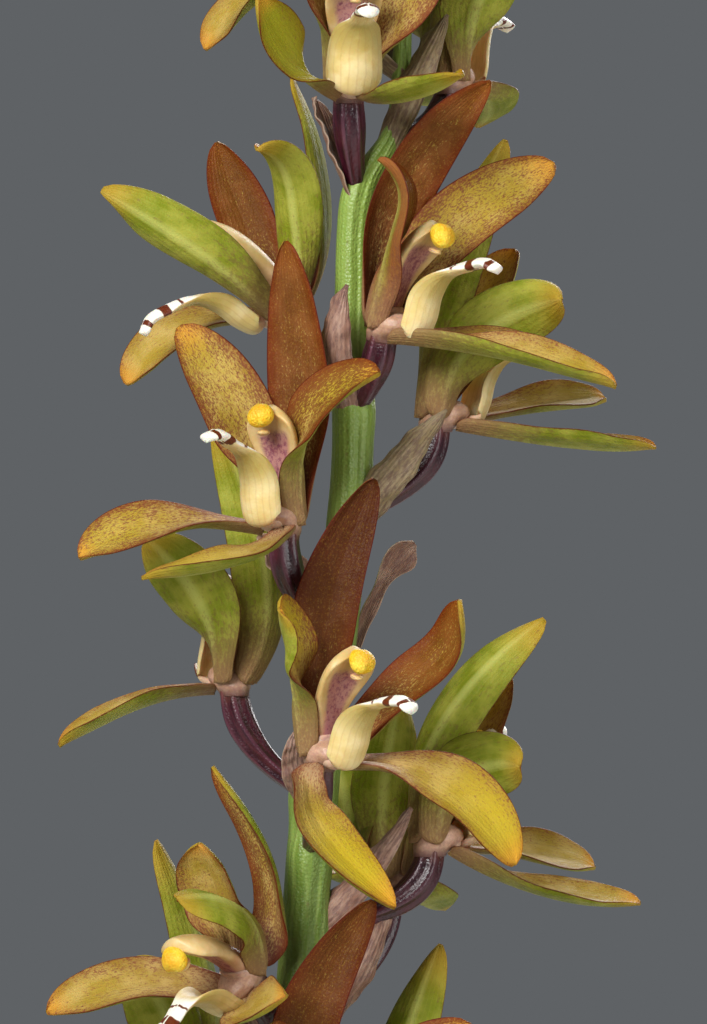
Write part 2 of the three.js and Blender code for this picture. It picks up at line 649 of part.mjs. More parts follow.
// The soil: it fills the pot, heaped and lumpy on top, with a plain round hole for the corm.
function soilSolid() {
  const [[floorRadius, floor], [waistRadius, waist], [mouthRadius, mouth]] = CAVITY;
  const inset = 0.6;
  const edge = SOIL.top - 3;
  const edgeRadius = mix(waistRadius, mouthRadius, (edge - waist) / (mouth - waist)) - inset;
  const wall = [[floorRadius - inset, floor + GAP], [waistRadius - inset, waist], [edgeRadius, edge]];
  const heap = [60, 53, 44, 35, 26, HOLE.radius].map((r) => [r, SOIL.top + SOIL.heap * (1 - r / 62)]);
  const profile = [[0, floor + GAP], ...wall, ...heap, [HOLE.radius, HOLE.floor], [0, HOLE.floor]];
  const geometry = turned(profile, 28);
  const p = geometry.attributes.position;
  for (let i = 0; i < p.count; i++) {
    const [x, y, z] = [p.getX(i), p.getY(i), p.getZ(i)];
    const coarse = Math.sin(x * 0.31 + 1.3) * Math.cos(y * 0.27);
    const fine = 0.7 * Math.sin(x * 0.13 - y * 0.19 + 0.5);
    if (z > SOIL.top - 1) p.setZ(i, z + SOIL.lumps * (coarse + fine));
  }
  return solidOfGeometry(geometry);
}

// The corm: a squat bulb with a flat top that carries the stem and the leaves.
function cormSolid() {
  const { radius, height } = CORM;
  const low = HOLE.floor + GAP;
  const shape = [[0, 0], [0.55, 0], [0.9, 0.2], [1, 0.45], [0.9, 0.75], [0.78, 1], [0, 1]];
  return solidOfGeometry(turned(shape.map(([r, z]) => [r * radius, low + z * height]), 14));
}

// A sheath: a thin sleeve, cut on a slant at its mouth.
function sheathSolid({ rings, wall, slant, bearing }) {
  const inside = rings.toReversed().map(([r, z]) => [r - wall, z]);
  const geometry = turned([...rings, ...inside, rings[0]], 20);
  const p = geometry.attributes.position;
  const [low, top] = rings.slice(-2).map(([, z]) => z);
  for (let i = 0; i < p.count; i++) {
    const share = Math.max(0, (p.getZ(i) - low) / (top - low));
    const angle = Math.atan2(p.getY(i), p.getX(i)) - radians(bearing);
    p.setZ(i, p.getZ(i) - (share * slant * (1 - Math.cos(angle))) / 2);
  }
  return solidOfGeometry(geometry);
}

// A leaf: a channelled stalk inside the sheath that opens into a long pleated blade with a
// waved edge.
const LEAF_SHARES = [0, 0.18, 0.3, 0.38, 0.45, 0.52, 0.6, 0.68, 0.76, 0.83, 0.9, 0.95, 0.98, 1];

function leafSolid(route) {
  const curve = new THREE.CatmullRomCurve3(route.map(vec), false, "centripetal");
  const tip = route.at(-1);
  const across = onBearing(Math.atan2(tip[1], tip[0]) - Math.PI / 2);
  const stations = LEAF_SHARES.map((t) => {
    const open = ease(t, 0.3, 0.62);
    const taper = t < 0.62 ? 1 : outline(t, 0, 0.62, 0.85);
    const depth = LEAF.pleat * open * (1 - ease(t, 0.85, 1));
    const wave = LEAF.wave * Math.sin(t * 26) * open * (1 - ease(t, 0.9, 1));
    return {
      at: curve.getPointAt(t),
      across,
      inner: new THREE.Vector3().crossVectors(across, curve.getTangentAt(t)).normalize(),
      half: (mix(LEAF.petiole, LEAF.width, open) / 2) * taper,
      thick: mix(LEAF.petioleThick, LEAF.thick, ease(t, 0.3, 0.45)),
      cup: mix(0.5, 0.14, open),
      relief: (v) => depth * Math.cos(4 * Math.PI * v) + wave * v * Math.abs(v),
    };
  });
  return blade(stations, 8);
}

// A bloom that takes the form of another one, turned about the vertical.
function turnedBloom({ like, node, base, turn }) {
  const upright = new THREE.Vector3(0, 0, 1);
  const spin = ([x, y, z = 0]) => {
    return new THREE.Vector3(x, y, z).applyAxisAngle(upright, radians(turn)).toArray();
  };
  const spun = (part) => {
    const look = part.look && spin(part.look);
    return { ...part, mid: spin(part.mid), tip: spin(part.tip), look };
  };
  const form = BLOOMS[like];
  return {
    ...form,
    node,
    base,
    faces: spin(form.faces),
    dorsal: spun(form.dorsal),
    petals: form.petals.map(spun),
    sepals: form.sepals.map(spun),
    bract: form.bract.map(spin),
  };
}

// Assembly
const plant = new THREE.Group();
plant.add(meshOf("pot", potSolid(), MATERIAL.clay));
plant.add(meshOf("soil", soilSolid(), MATERIAL.soil));
plant.add(meshOf("corm", cormSolid(), MATERIAL.corm));
plant.add(meshOf("sheath_long", sheathSolid(LONG_SHEATH), MATERIAL.greenSheath));
plant.add(meshOf("sheath_short", sheathSolid(SHORT_SHEATH), MATERIAL.drySheath));
for (const [name, route] of Object.entries(LEAVES))
  plant.add(meshOf(name, leafSolid(route), MATERIAL.leaf));

const stemParts = [stemTube(), ...CLASPS.map(claspSolid)];
[...BLOOMS, ...TURNED_BLOOMS.map(turnedBloom)].forEach((bloom, i) => {
  const frame = bloomFrame(bloom);
  const name = `bloom_${String(i + 1).padStart(2, "0")}`;
  stemParts.push(stalk(bloom, frame), bractSolid(bloom, frame));
  plant.add(meshOf(`${name}_tepals`, perianthSolid(bloom, frame), MATERIAL.tepal));
  plant.add(meshOf(`${name}_lip`, columnSolid(frame).add(lipSolid(frame, bloom)), MATERIAL.lip));
  plant.add(meshOf(`${name}_anther`, antherSolid(frame), MATERIAL.anther));
});
plant.add(meshOf("stem", unite(stemParts), MATERIAL.stem));
plant.add(meshOf("raceme_tip", budKnot(), MATERIAL.bud));

export default plant;
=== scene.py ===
"""A potted Govenia in flower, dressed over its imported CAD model.

Lengths in the tables are millimetres, +Z is up and the origin is the middle of the pot's
foot. Meshes are made in metres, in the same frame.
"""

import bpy
import numpy as np
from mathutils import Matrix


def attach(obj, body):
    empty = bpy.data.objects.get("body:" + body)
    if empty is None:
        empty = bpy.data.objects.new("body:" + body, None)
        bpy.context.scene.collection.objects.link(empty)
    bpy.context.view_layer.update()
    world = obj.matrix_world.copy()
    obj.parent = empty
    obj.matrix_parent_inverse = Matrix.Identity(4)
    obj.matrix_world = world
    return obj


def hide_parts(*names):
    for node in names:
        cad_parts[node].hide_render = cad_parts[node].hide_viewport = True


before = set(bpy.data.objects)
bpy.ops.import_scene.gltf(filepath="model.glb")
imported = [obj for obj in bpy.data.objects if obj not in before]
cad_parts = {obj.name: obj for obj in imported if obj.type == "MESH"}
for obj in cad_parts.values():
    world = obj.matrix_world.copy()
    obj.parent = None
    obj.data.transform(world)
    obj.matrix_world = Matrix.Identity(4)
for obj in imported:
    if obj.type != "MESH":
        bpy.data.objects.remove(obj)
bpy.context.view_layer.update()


# The pot: red clay turned on a wheel, with a rim band, fired once and left bare. Its wall
# keeps faint throwing rings, its floor has four drain holes, and lime from the water has
# bloomed on its outside.
MM = 0.001
POT_PROFILE = [
    [0, 0], [48, 0], [49.2, 1.6], [66, 103], [71.5, 104.5], [73.5, 128], [72, 130],
    [68.5, 130], [61.6, 99], [45, 8], [0, 8],
]
DRAINS = {"count": 4, "radius": 4.5, "circle": 26}
POT_MESH = {"step": 1.1, "round": 144, "drain": 40}


def unit(vectors):
    """Each vector divided by its length."""
    return vectors / np.linalg.norm(vectors, axis=-1, keepdims=True)


def ease(x, low, high):
    """0 below low and 1 above high, along 3s^2 - 2s^3 between them."""
    share = np.clip((x - low) / (high - low), 0, 1)
    return share * share * (3 - 2 * share)


def mix(a, b, share):
    """a at share 0, b at share 1, in a straight line between them."""
    return a + (b - a) * share


def skin(points, run=None, sheet=None, tint=(0, 0, 0), look=0, ring=False):
    """A closed skin over loops of points, [loop, point, xyz], each running anticlockwise as
    seen from the last loop. Four-sided faces join each loop to the next, and a fan round its
    middle closes each end. With ring, the last loop joins the first instead."""
    rows, columns = points.shape[:2]
    at = np.arange(rows * columns).reshape(rows, columns)
    near, far = (at, np.roll(at, -1, 0)) if ring else (at[:-1], at[1:])
    quads = np.stack([near, np.roll(near, -1, 1), np.roll(far, -1, 1), far], -1).reshape(-1, 4)
    if ring:
        tris = np.zeros((0, 3), int)
    else:
        ends = rows * columns + np.array([[0], [1]]) + np.zeros((2, columns), int)
        foot = np.stack([np.roll(at[0], -1), at[0], ends[0]], -1)
        top = np.stack([at[-1], np.roll(at[-1], -1), ends[1]], -1)
        tris = np.concatenate([foot, top])

    def spread(values):
        values = np.zeros((rows, columns, 3)) if values is None else values
        values = np.broadcast_to(values, (rows, columns, 3))
        flat = values.reshape(-1, 3)
        return flat if ring else np.concatenate([flat, values[[0, -1]].mean(1)])

    return {
        "points": spread(points), "quads": quads, "tris": tris, "look": look, "flat": False,
        "run": spread(run), "sheet": spread(sheet), "tint": spread(np.array(tint, float)),
    }


def piece(name, skins, looks, slot, *nodes):
    """One mesh object from skins, which rides on the plant and stands for its CAD nodes.
    The skins' points and marks are laid end to end, and their faces count on from there."""
    starts = np.cumsum([0] + [len(s["points"]) for s in skins])
    quads = np.concatenate([s["quads"] + start for s, start in zip(skins, starts)])
    tris = np.concatenate([s["tris"] + start for s, start in zip(skins, starts)])
    sizes = np.repeat([4, 3], [len(quads), len(tris)])
    mesh = bpy.data.meshes.new(name)
    mesh.vertices.add(starts[-1])
    mesh.loops.add(sizes.sum())
    mesh.polygons.add(len(sizes))
    points = np.concatenate([s["points"] for s in skins]) * MM
    mesh.vertices.foreach_set("co", points.ravel())
    mesh.loops.foreach_set("vertex_index", np.concatenate([quads.ravel(), tris.ravel()]))
    mesh.polygons.foreach_set("loop_start", np.cumsum(sizes) - sizes)
    for option, key in (("material_index", "look"), ("use_smooth", "flat")):
        values = [int(s[key]) if key == "look" else not s[key] for s in skins]
        each = [np.repeat(values, [len(s[kind]) for s in skins]) for kind in ("quads", "tris")]
        mesh.polygons.foreach_set(option, np.concatenate(each))
    mesh.update(calc_edges=True)
    for mark in ("run", "sheet", "tint"):
        layer = mesh.attributes.new(mark, "FLOAT_VECTOR", "POINT")
        layer.data.foreach_set("vector", np.concatenate([s[mark] for s in skins]).ravel())
    for look in looks:
        mesh.materials.append(look)
    made = bpy.data.objects.new(name, mesh)
    bpy.context.scene.collection.objects.link(made)
    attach(made, "root")
    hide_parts(*nodes)
    return made


def walked(points):
    """How far along the line each point is."""
    return np.r_[0, np.cumsum(np.linalg.norm(np.diff(points, axis=0), axis=1))]


def rounded(profile, step, radius):
    """The profile walked in even steps, each point the mean of those within radius of it
    along the line, which rounds the corners. The two ends stay."""
    profile = np.array(profile, float)
    far = walked(profile)
    places = np.linspace(0, far[-1], int(far[-1] / step))
    reach = np.linspace(-radius, radius, 9)
    near = np.clip(places[:, None] + reach, 0, far[-1])
    line = np.stack([np.interp(near, far, part).mean(1) for part in profile.T], -1)
    line[[0, -1]] = profile[[0, -1]]
    return line


def round_turn(count):
    """Even angles round a full turn."""
    return np.linspace(0, 2 * np.pi, count, endpoint=False)


def turned(profile, sides):
    """Loops round the Z axis: a point of the profile, (radius, height), at each bearing."""
    bearing = round_turn(sides)
    radius = np.maximum(profile[:, :1], 0.01)
    height = np.broadcast_to(profile[:, 1:], (len(profile), sides))
    return np.stack([radius * np.cos(bearing), radius * np.sin(bearing), height], -1)


def paint(colour):
    """A colour such as '#a8623f' as the shader's linear red, green, blue and alpha."""
    parts = np.array([int(colour[i : i + 2], 16) for i in (1, 3, 5)]) / 255
    linear = np.where(parts > 0.04045, ((parts + 0.055) / 1.055) ** 2.4, parts / 12.92)
    return (*linear.tolist(), 1.0)


class Recipe:
    """A tree of shader nodes with short ways to add to it. Every input takes either a socket
    or a plain value. In a material, colour is the colour so far, which each coat goes over."""

    def __init__(self, tree, shader=None):
        self.tree, self.shader, self.colour = tree, shader, None

    def add(self, kind, feeds, **settings):
        made = self.tree.nodes.new("ShaderNode" + kind)
        for option, value in settings.items():
            setattr(made, option, value)
        return self.feed(made, feeds)

    def feed(self, made, feeds):
        for key, value in feeds.items():
            if isinstance(value, bpy.types.NodeSocket):
                self.tree.links.new(value, made.inputs[key])
            else:
                made.inputs[key].default_value = paint(value) if isinstance(value, str) else value
        return made

    def calc(self, operation, a, b=0.0, clamp=False):
        return self.add("Math", {0: a, 1: b}, operation=operation, use_clamp=clamp).outputs[0]

    def times(self, a, b):
        return self.calc("MULTIPLY", a, b)

    def plus(self, a, b):
        return self.calc("ADD", a, b)

    def ramp(self, value, low, high, to_low=0.0, to_high=1.0):
        feeds = {0: value, 1: low, 2: high, 3: to_low, 4: to_high}
        return self.add("MapRange", feeds, interpolation_type="SMOOTHSTEP").outputs[0]

    def blend(self, share, a, b):
        return self.add("Mix", {0: share, 6: a, 7: b}, data_type="RGBA").outputs[2]

    def noise(self, place, per_mm, detail=3.0, rough=0.55):
        feeds = {"Vector": place, "Scale": per_mm, "Detail": detail, "Roughness": rough}
        return self.add("TexNoise", feeds).outputs[0]

    def stretch(self, place, along, across, level):
        return self.add("Mapping", {"Vector": place, "Scale": (along, across, level)}).outputs[0]

    def mark(self, name):
        return self.add("Attribute", {}, attribute_name=name).outputs["Vector"]

    def parts(self, vector):
        return self.add("SeparateXYZ", {0: vector}).outputs

    def marks(self, name):
        return self.parts(self.mark(name))

    def place(self):
        """Where the point is on the object, in millimetres."""
        at = self.add("TexCoord", {}).outputs["Object"]
        return self.add("VectorMath", {0: at, 3: 1 / MM}, operation="SCALE").outputs[0]

    def effect(self, group, *feeds):
        """The outputs of a group, fed in the order of its inputs."""
        return self.feed(self.add("Group", {}, node_tree=group), dict(enumerate(feeds))).outputs

    def bump(self, height, depth_mm, under=None):
        feeds = {"Height": height, "Distance": depth_mm * MM, "Strength": 1.0}
        if under is not None:
            feeds["Normal"] = under
        return self.add("Bump", feeds).outputs[0]

    def base(self, share, a, b):
        self.colour = self.blend(share, a, b)

    def coat(self, over, share, strength=None):
        share = share if strength is None else self.times(share, strength)
        self.colour = self.blend(share, self.colour, over)

    def pour(self, roughness, normal):
        """Feeds the finished colour, a roughness and a normal to the shader."""
        feeds = {"Base Color": self.colour, "Roughness": roughness, "Normal": normal}
        self.feed(self.shader, feeds)


def new_look(name, constants):
    """A material and its recipe. The constants stay on the shader's sockets."""
    look = bpy.data.materials.new(name)
    look.use_nodes = True
    shader = look.node_tree.nodes["Principled BSDF"]
    for socket, value in constants.items():
        shader.inputs[socket].default_value = value
    return look, Recipe(look.node_tree, shader)


def new_effect(name, inputs, outputs):
    """An empty group of nodes with named number or vector inputs and number outputs."""
    group = bpy.data.node_groups.new(name, "ShaderNodeTree")
    for label, start in inputs.items():
        kind = "NodeSocketVector" if start is None else "NodeSocketFloat"
        socket = group.interface.new_socket(label, in_out="INPUT", socket_type=kind)
        if start is not None:
            socket.default_value = start
    for label in outputs:
        group.interface.new_socket(label, in_out="OUTPUT", socket_type="NodeSocketFloat")
    given = group.nodes.new("NodeGroupInput").outputs
    made = group.nodes.new("NodeGroupOutput").inputs
    return group, Recipe(group), given, made


# Patches: a broad cloud broken up by a finer one. Share sets how much of the surface the
# patches take, from 0 to 1.
patches, mixer, given, made = new_effect(
    "patches", {"Place": None, "Per mm": 0.05, "Share": 0.5}, ["Mask"]
)
broad = mixer.noise(given["Place"], given["Per mm"], 4.0, 0.6)
fine = mixer.noise(given["Place"], mixer.times(given["Per mm"], 11.0), 3.0, 0.6)
cloud = mixer.plus(mixer.times(broad, 0.75), mixer.times(fine, 0.25))
edge = mixer.ramp(given["Share"], 0.0, 1.0, 0.68, 0.34)
cloud = mixer.calc("MULTIPLY", mixer.calc("SUBTRACT", cloud, edge), 9.0)
mixer.tree.links.new(mixer.calc("ADD", cloud, 0.5, clamp=True), made["Mask"])

# Grit: coarse and fine grain together, as a height.
grit, mixer, given, made = new_effect("grit", {"Place": None, "Per mm": 2.0}, ["Height"])
coarse = mixer.noise(given["Place"], given["Per mm"], 6.0, 0.7)
pits = mixer.add(
    "TexVoronoi", {"Vector": given["Place"], "Scale": mixer.times(given["Per mm"], 0.55)}
).outputs["Distance"]
height = mixer.plus(mixer.times(coarse, 0.7), mixer.times(pits, 0.3))
mixer.tree.links.new(height, made["Height"])

clay, dye = new_look("fired_clay", {"Specular IOR Level": 0.25})
place = dye.place()
z = dye.parts(place)[2]
flat_place = dye.stretch(place, 1, 1, 2.6)
tone = dye.effect(patches, place, 0.03, 0.5)[0]
lime = dye.effect(patches, flat_place, 0.035, 0.34)[0]
damp = dye.ramp(dye.plus(z, dye.times(tone, 14.0)), 16.0, 52.0, 1.0, 0.0)
dye.base(tone, "#a85d38", "#bf7347")
dye.coat("#7d452c", damp, 0.45)
dye.coat("#d9bda3", lime, 0.5)
specks = dye.ramp(dye.noise(place, 1.4, 2.0, 0.5), 0.66, 0.72)
dye.coat("#5c3322", specks, 0.4)
grain = dye.effect(grit, place, 2.4)[0]
rings = dye.noise(dye.stretch(place, 0.012, 0.012, 1), 0.9, 3.0, 0.6)
normal = dye.bump(grain, 0.14, dye.bump(rings, 0.35))
roughness = dye.ramp(lime, 0.0, 1.0, 0.82, 0.95)
dye.pour(roughness, normal)

pot_line = rounded(POT_PROFILE, POT_MESH["step"], 1.1)
pot_loops = turned(pot_line, POT_MESH["round"])
bearing = np.arctan2(pot_loops[..., 1], pot_loops[..., 0])
height = pot_loops[..., 2]
on_wall = ease(height, 3, 9) * (1 - ease(height, 97, 102)) * (pot_line[:, :1] > 47)
wobble = 0.1 * np.sin(height * 1.53 + np.sin(bearing)) + 0.12 * np.sin(2 * bearing + 0.05 * height)
knocks = 0.35 * np.exp(-((bearing - 2.2) / 0.05) ** 2) + 0.5 * np.exp(-((bearing + 1.1) / 0.03) ** 2)
at_rim = ease(height, 127.5, 129.6) * (pot_line[:, :1] > 71)
push = (wobble * on_wall - knocks * at_rim)[..., None]
pot_loops[..., :2] += push * unit(pot_loops[..., :2])
pot = piece("clay_pot", [skin(pot_loops)], [clay], "clay", "pot")
for i in range(DRAINS["count"]):
    bearing = (i + 0.5) / DRAINS["count"] * 2 * np.pi
    hole = [[0, -4], [DRAINS["radius"], -4], [DRAINS["radius"], 12], [0, 12]]
    hole_loops = turned(np.array(hole), POT_MESH["drain"])
    hole_loops += np.array([np.cos(bearing), np.sin(bearing), 0]) * DRAINS["circle"]
    hole_mesh = bpy.data.meshes.new("drain")
    hole = skin(hole_loops)
    faces = hole["quads"].tolist() + hole["tris"].tolist()
    hole_mesh.from_pydata((hole["points"] * MM).tolist(), [], faces)
    drill = bpy.data.objects.new("drain", hole_mesh)
    bpy.context.scene.collection.objects.link(drill)
    cut = pot.modifiers.new("drain", "BOOLEAN")
    cut.operation = "DIFFERENCE"
    cut.object = drill
    drilled = bpy.data.meshes.new_from_object(
        pot.evaluated_get(bpy.context.evaluated_depsgraph_get())
    )
    pot.modifiers.clear()
    pot.data = drilled
    bpy.data.objects.remove(drill)


# The soil: leaf mould and fine bark, heaped a little towards the plant. A plain round hole
# takes the corm. Crumbs, bark chips and pale grit lie loose on it, with cushions of moss.
SOIL_TOP = 114
SOIL_HEAP = 2.4
SOIL_EDGE = 63.6
SOIL_HOLE = {"radius": 18.6, "floor": 82}
SOIL_MESH = {"rings": 60, "round": 200}
SOIL_SIDE = [[0.01, 8.3], [44.4, 8.3], [61.0, 99], [SOIL_EDGE, 111]]
CRUMBS = {"count": 2600, "size": (0.35, 1.5)}
CHIPS = {"count": 170, "size": (1.6, 4.2)}
MOSS_CUSHIONS = [(-38, -36, 9), (44, -22, 7), (-6, -50, 8), (30, 42, 9), (-48, 18, 7), (2, 36, 6)]
SHOOTS = 320


def soil_height(x, y):
    """A cone that falls from the middle, two slow waves, and seven finer ones in set
    directions, each shorter and lower than the one before."""
    slow = np.sin(x * 0.31 + 1.3) * np.cos(y * 0.27) + 0.7 * np.sin(x * 0.13 - y * 0.19 + 0.5)
    fine = sum(
        np.sin((x * np.cos(2.4 * k) + y * np.sin(2.4 * k)) * 0.55 * 1.35**k + k * k) * 0.34 / 1.25**k
        for k in range(7)
    )
    return SOIL_TOP + SOIL_HEAP * (1 - np.hypot(x, y) / 62) + 1.5 * slow + 0.8 * fine


def tumbled(shape, faces, centres, sizes, generator, tints):
    """Copies of one small shape, each scaled, turned at random about all three axes and put
    at its centre. Turns are the orthogonal parts of random matrices."""
    turns = np.linalg.qr(generator.normal(size=(len(centres), 3, 3)))[0]
    turns[np.linalg.det(turns) < 0, :, 0] *= -1
    points = np.einsum("nij,nkj->nki", turns, shape * sizes[:, None]) + centres[:, None]
    starts = np.arange(len(centres))[:, None, None] * shape.shape[-2]
    return {
        "points": points.reshape(-1, 3), "tris": (faces + starts).reshape(-1, 3),
        "quads": np.zeros((0, 4), int), "look": 0, "flat": True,
        "run": np.zeros((points.size // 3, 3)), "sheet": np.zeros((points.size // 3, 3)),
        "tint": np.repeat(tints, shape.shape[-2], 0),
    }


GOLD = (1 + 5**0.5) / 2
LUMP = unit(np.array([
    [-1, GOLD, 0], [1, GOLD, 0], [-1, -GOLD, 0], [1, -GOLD, 0], [0, -1, GOLD], [0, 1, GOLD],
    [0, -1, -GOLD], [0, 1, -GOLD], [GOLD, 0, -1], [GOLD, 0, 1], [-GOLD, 0, -1], [-GOLD, 0, 1],
]))
LUMP_FACES = np.array([
    [0, 11, 5], [0, 5, 1], [0, 1, 7], [0, 7, 10], [0, 10, 11], [1, 5, 9], [5, 11, 4],
    [11, 10, 2], [10, 7, 6], [7, 1, 8], [3, 9, 4], [3, 4, 2], [3, 2, 6], [3, 6, 8],
    [3, 8, 9], [4, 9, 5], [2, 4, 11], [6, 2, 10], [8, 6, 7], [9, 8, 1],
])

mould, dye = new_look("leaf_mould", {"Specular IOR Level": 0.2})
place = dye.place()
tone = dye.effect(patches, place, 0.09, 0.5)[0]
crumb = dye.noise(place, 0.9, 6.0, 0.7)
dye.base(dye.ramp(crumb, 0.35, 0.65), "#1d140e", "#4a3524")
dye.coat("#5d422b", tone, 0.4)
lie = dye.effect(grit, place, 1.1)[0]
normal = dye.bump(lie, 0.9)
roughness = dye.ramp(crumb, 0.3, 0.7, 0.85, 1.0)
dye.pour(roughness, normal)

loose, dye = new_look("crumbs_and_bark", {"Specular IOR Level": 0.2})
place = dye.place()
kind, shade, pale = dye.marks("tint")
dye.base(shade, "#20160f", "#5b3f28")
dye.coat(dye.blend(shade, "#5a3320", "#8a5a38"), kind)
dye.coat("#cfc8b8", pale)
grain = dye.noise(place, 2.5, 4.0, 0.7)
dye.coat("#171009", dye.ramp(grain, 0.45, 0.7, 0.0, 0.5))
normal = dye.bump(grain, 0.3)
dye.pour(dye.ramp(grain, 0.2, 0.8, 0.8, 1.0), normal)

moss, dye = new_look("moss", {"Subsurface Weight": 0.1, "Subsurface Scale": 0.0006})
_, shade, dry = dye.marks("tint")
dye.base(shade, "#3f5a17", "#7d9a2c")
dye.coat("#8a7434", dry, 0.5)
speck = dye.noise(dye.place(), 2.0)
dye.coat("#26380f", dye.ramp(speck, 0.4, 0.7, 0.0, 0.4))
dye.pour(dye.ramp(speck, 0.2, 0.8, 0.6, 0.8), dye.bump(speck, 0.1))

rings_out = np.linspace(SOIL_EDGE, SOIL_HOLE["radius"], SOIL_MESH["rings"])
hole = [[SOIL_HOLE["radius"], z] for z in (110, 104, 98, 90, SOIL_HOLE["floor"])]
hole = np.array(hole + [[0.01, SOIL_HOLE["floor"]]])
soil_line = np.concatenate([SOIL_SIDE[:-1], np.stack([rings_out, 0 * rings_out], -1), hole])
soil_loops = turned(soil_line, SOIL_MESH["round"])
top = slice(len(SOIL_SIDE) - 1, len(SOIL_SIDE) - 1 + len(rings_out))
dip = 2.2 * ease(rings_out, SOIL_EDGE - 4, SOIL_EDGE)[:, None]
soil_loops[top, :, 2] = soil_height(soil_loops[top, :, 0], soil_loops[top, :, 1]) - dip
piece("soil_bed", [skin(soil_loops)], [mould], "soil", "soil")

chance = np.random.default_rng(11)


def on_soil(count, sunk):
    """Random places on the soil, spread evenly over the ring between the hole and the wall."""
    radius = np.sqrt(chance.uniform((SOIL_HOLE["radius"] + 1.5) ** 2, (SOIL_EDGE - 3.5) ** 2, count))
    bearing = chance.uniform(0, 2 * np.pi, count)
    x, y = radius * np.cos(bearing), radius * np.sin(bearing)
    return np.stack([x, y, soil_height(x, y) - sunk], -1)


def tints(count, kind, pale_share):
    """For each loose grain its kind, a random shade and whether it is a pale one."""
    pale = (chance.uniform(size=count) < pale_share).astype(float)
    return np.stack([np.full(count, float(kind)), chance.uniform(size=count), pale], -1)


crumb_size = chance.uniform(*CRUMBS["size"], (CRUMBS["count"], 1))
crumb_size = crumb_size * chance.uniform(0.6, 1, (CRUMBS["count"], 3))
crumbs = tumbled(
    LUMP, LUMP_FACES, on_soil(CRUMBS["count"], 0.2), crumb_size, chance, tints(CRUMBS["count"], 0, 0.05)
)
chip_size = chance.uniform(*CHIPS["size"], (CHIPS["count"], 1)) * np.array([1, 0.55, 0.22])
chips = tumbled(
    LUMP, LUMP_FACES, on_soil(CHIPS["count"], 0.1), chip_size, chance, tints(CHIPS["count"], 1, 0)
)
piece("soil_crumbs", [crumbs, chips], [loose], "soil", "soil")

SHOOT = np.array([[0, 0, 0], [0.5, 0, 1.2], [0, 0.5, 1.2], [-0.5, 0, 1.2], [0, -0.5, 1.2], [0, 0, 3.0]])
SHOOT_FACES = np.array([
    [0, 2, 1], [0, 3, 2], [0, 4, 3], [0, 1, 4], [5, 1, 2], [5, 2, 3], [5, 3, 4], [5, 4, 1],
])


def shoots(foot, tip, width, tint):
    """Thin pointed shoots, each a four-sided spindle from its foot to its tip, with its
    widest part two fifths of the way up."""
    along = tip - foot
    across = unit(np.cross(along, chance.normal(size=along.shape)))
    square = np.cross(unit(along), across)
    rise = SHOOT[None, :, 2:] / SHOOT[-1, 2]
    points = foot[:, None] + along[:, None] * rise
    points = points + across[:, None] * SHOOT[None, :, :1] * width[:, None, None]
    points = points + square[:, None] * SHOOT[None, :, 1:2] * width[:, None, None]
    starts = np.arange(len(foot))[:, None, None] * len(SHOOT)
    nothing = np.zeros((points.size // 3, 3))
    return {
        "points": points.reshape(-1, 3), "tris": (SHOOT_FACES + starts).reshape(-1, 3),
        "quads": np.zeros((0, 4), int), "look": 0, "flat": False, "run": nothing,
        "sheet": nothing, "tint": np.repeat(tint, len(SHOOT), 0),
    }


cushions = []
for x, y, size in MOSS_CUSHIONS:
    away = np.clip(chance.normal(0, 0.42, (SHOOTS, 2)), -1, 1)
    ground = np.array([x, y]) + away * size
    dome = 1.6 * np.exp(-((away**2).sum(1)) * 2.2)
    foot = np.column_stack([ground, soil_height(*ground.T) - 0.5])
    lean = np.column_stack([away * 1.3 + chance.normal(0, 0.45, (SHOOTS, 2)), 1.3 + dome])
    tint = np.column_stack([np.zeros(SHOOTS), chance.uniform(size=(SHOOTS, 2))])
    cushions.append(shoots(foot, foot + lean, np.full(SHOOTS, 0.42), tint))
piece("moss_cushions", cushions, [moss], "soil", "soil")


# The corm: a squat underground bulb, ringed where old leaves sat, that carries the stem and
# the leaf stalks. It stands in the hole, hidden by the sheaths, so its CAD form is enough.
bulb, dye = new_look("corm_skin", {"Specular IOR Level": 0.35})
place = dye.place()
scars = dye.noise(dye.stretch(place, 0.02, 0.02, 1), 0.8, 2.0)
tone = dye.effect(patches, place, 0.2, 0.5)[0]
dye.base(dye.ramp(scars, 0.4, 0.6), "#6d6538", "#a39a63")
dye.coat("#5a4630", tone, 0.5)
fibres = dye.effect(grit, place, 1.5)[0]
dye.pour(dye.ramp(tone, 0, 1, 0.55, 0.8), dye.bump(fibres, 0.3))
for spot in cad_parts["corm"].material_slots:
    spot.material = bulb


# The sheaths: sleeves that wrap the foot of the plant, thin, ribbed along their length and
# cut on a slant at the mouth. The long one is still green, the short one has dried and
# frayed. Both stand in the hole and hold the leaf stalks together.
LONG_SHEATH = {
    "rings": [[15, 82.3], [15.6, 128], [14.8, 152], [12.6, 188], [12.6, 208], [13.4, 226]],
    "slant": 14, "bearing": 250, "ribs": 38, "flutes": 0.16,
}
SHEATH_MESH = {"step": 1.6, "round": 200}
SHORT_SHEATH = {
    "rings": [[16.6, 82.3], [17.9, 120], [17.2, 138], [17.2, 150]],
    "slant": 12, "bearing": 60, "ribs": 30, "flutes": 0.3,
}
SHEATH_WALL = 1
FRAYED_FIBRES = 70

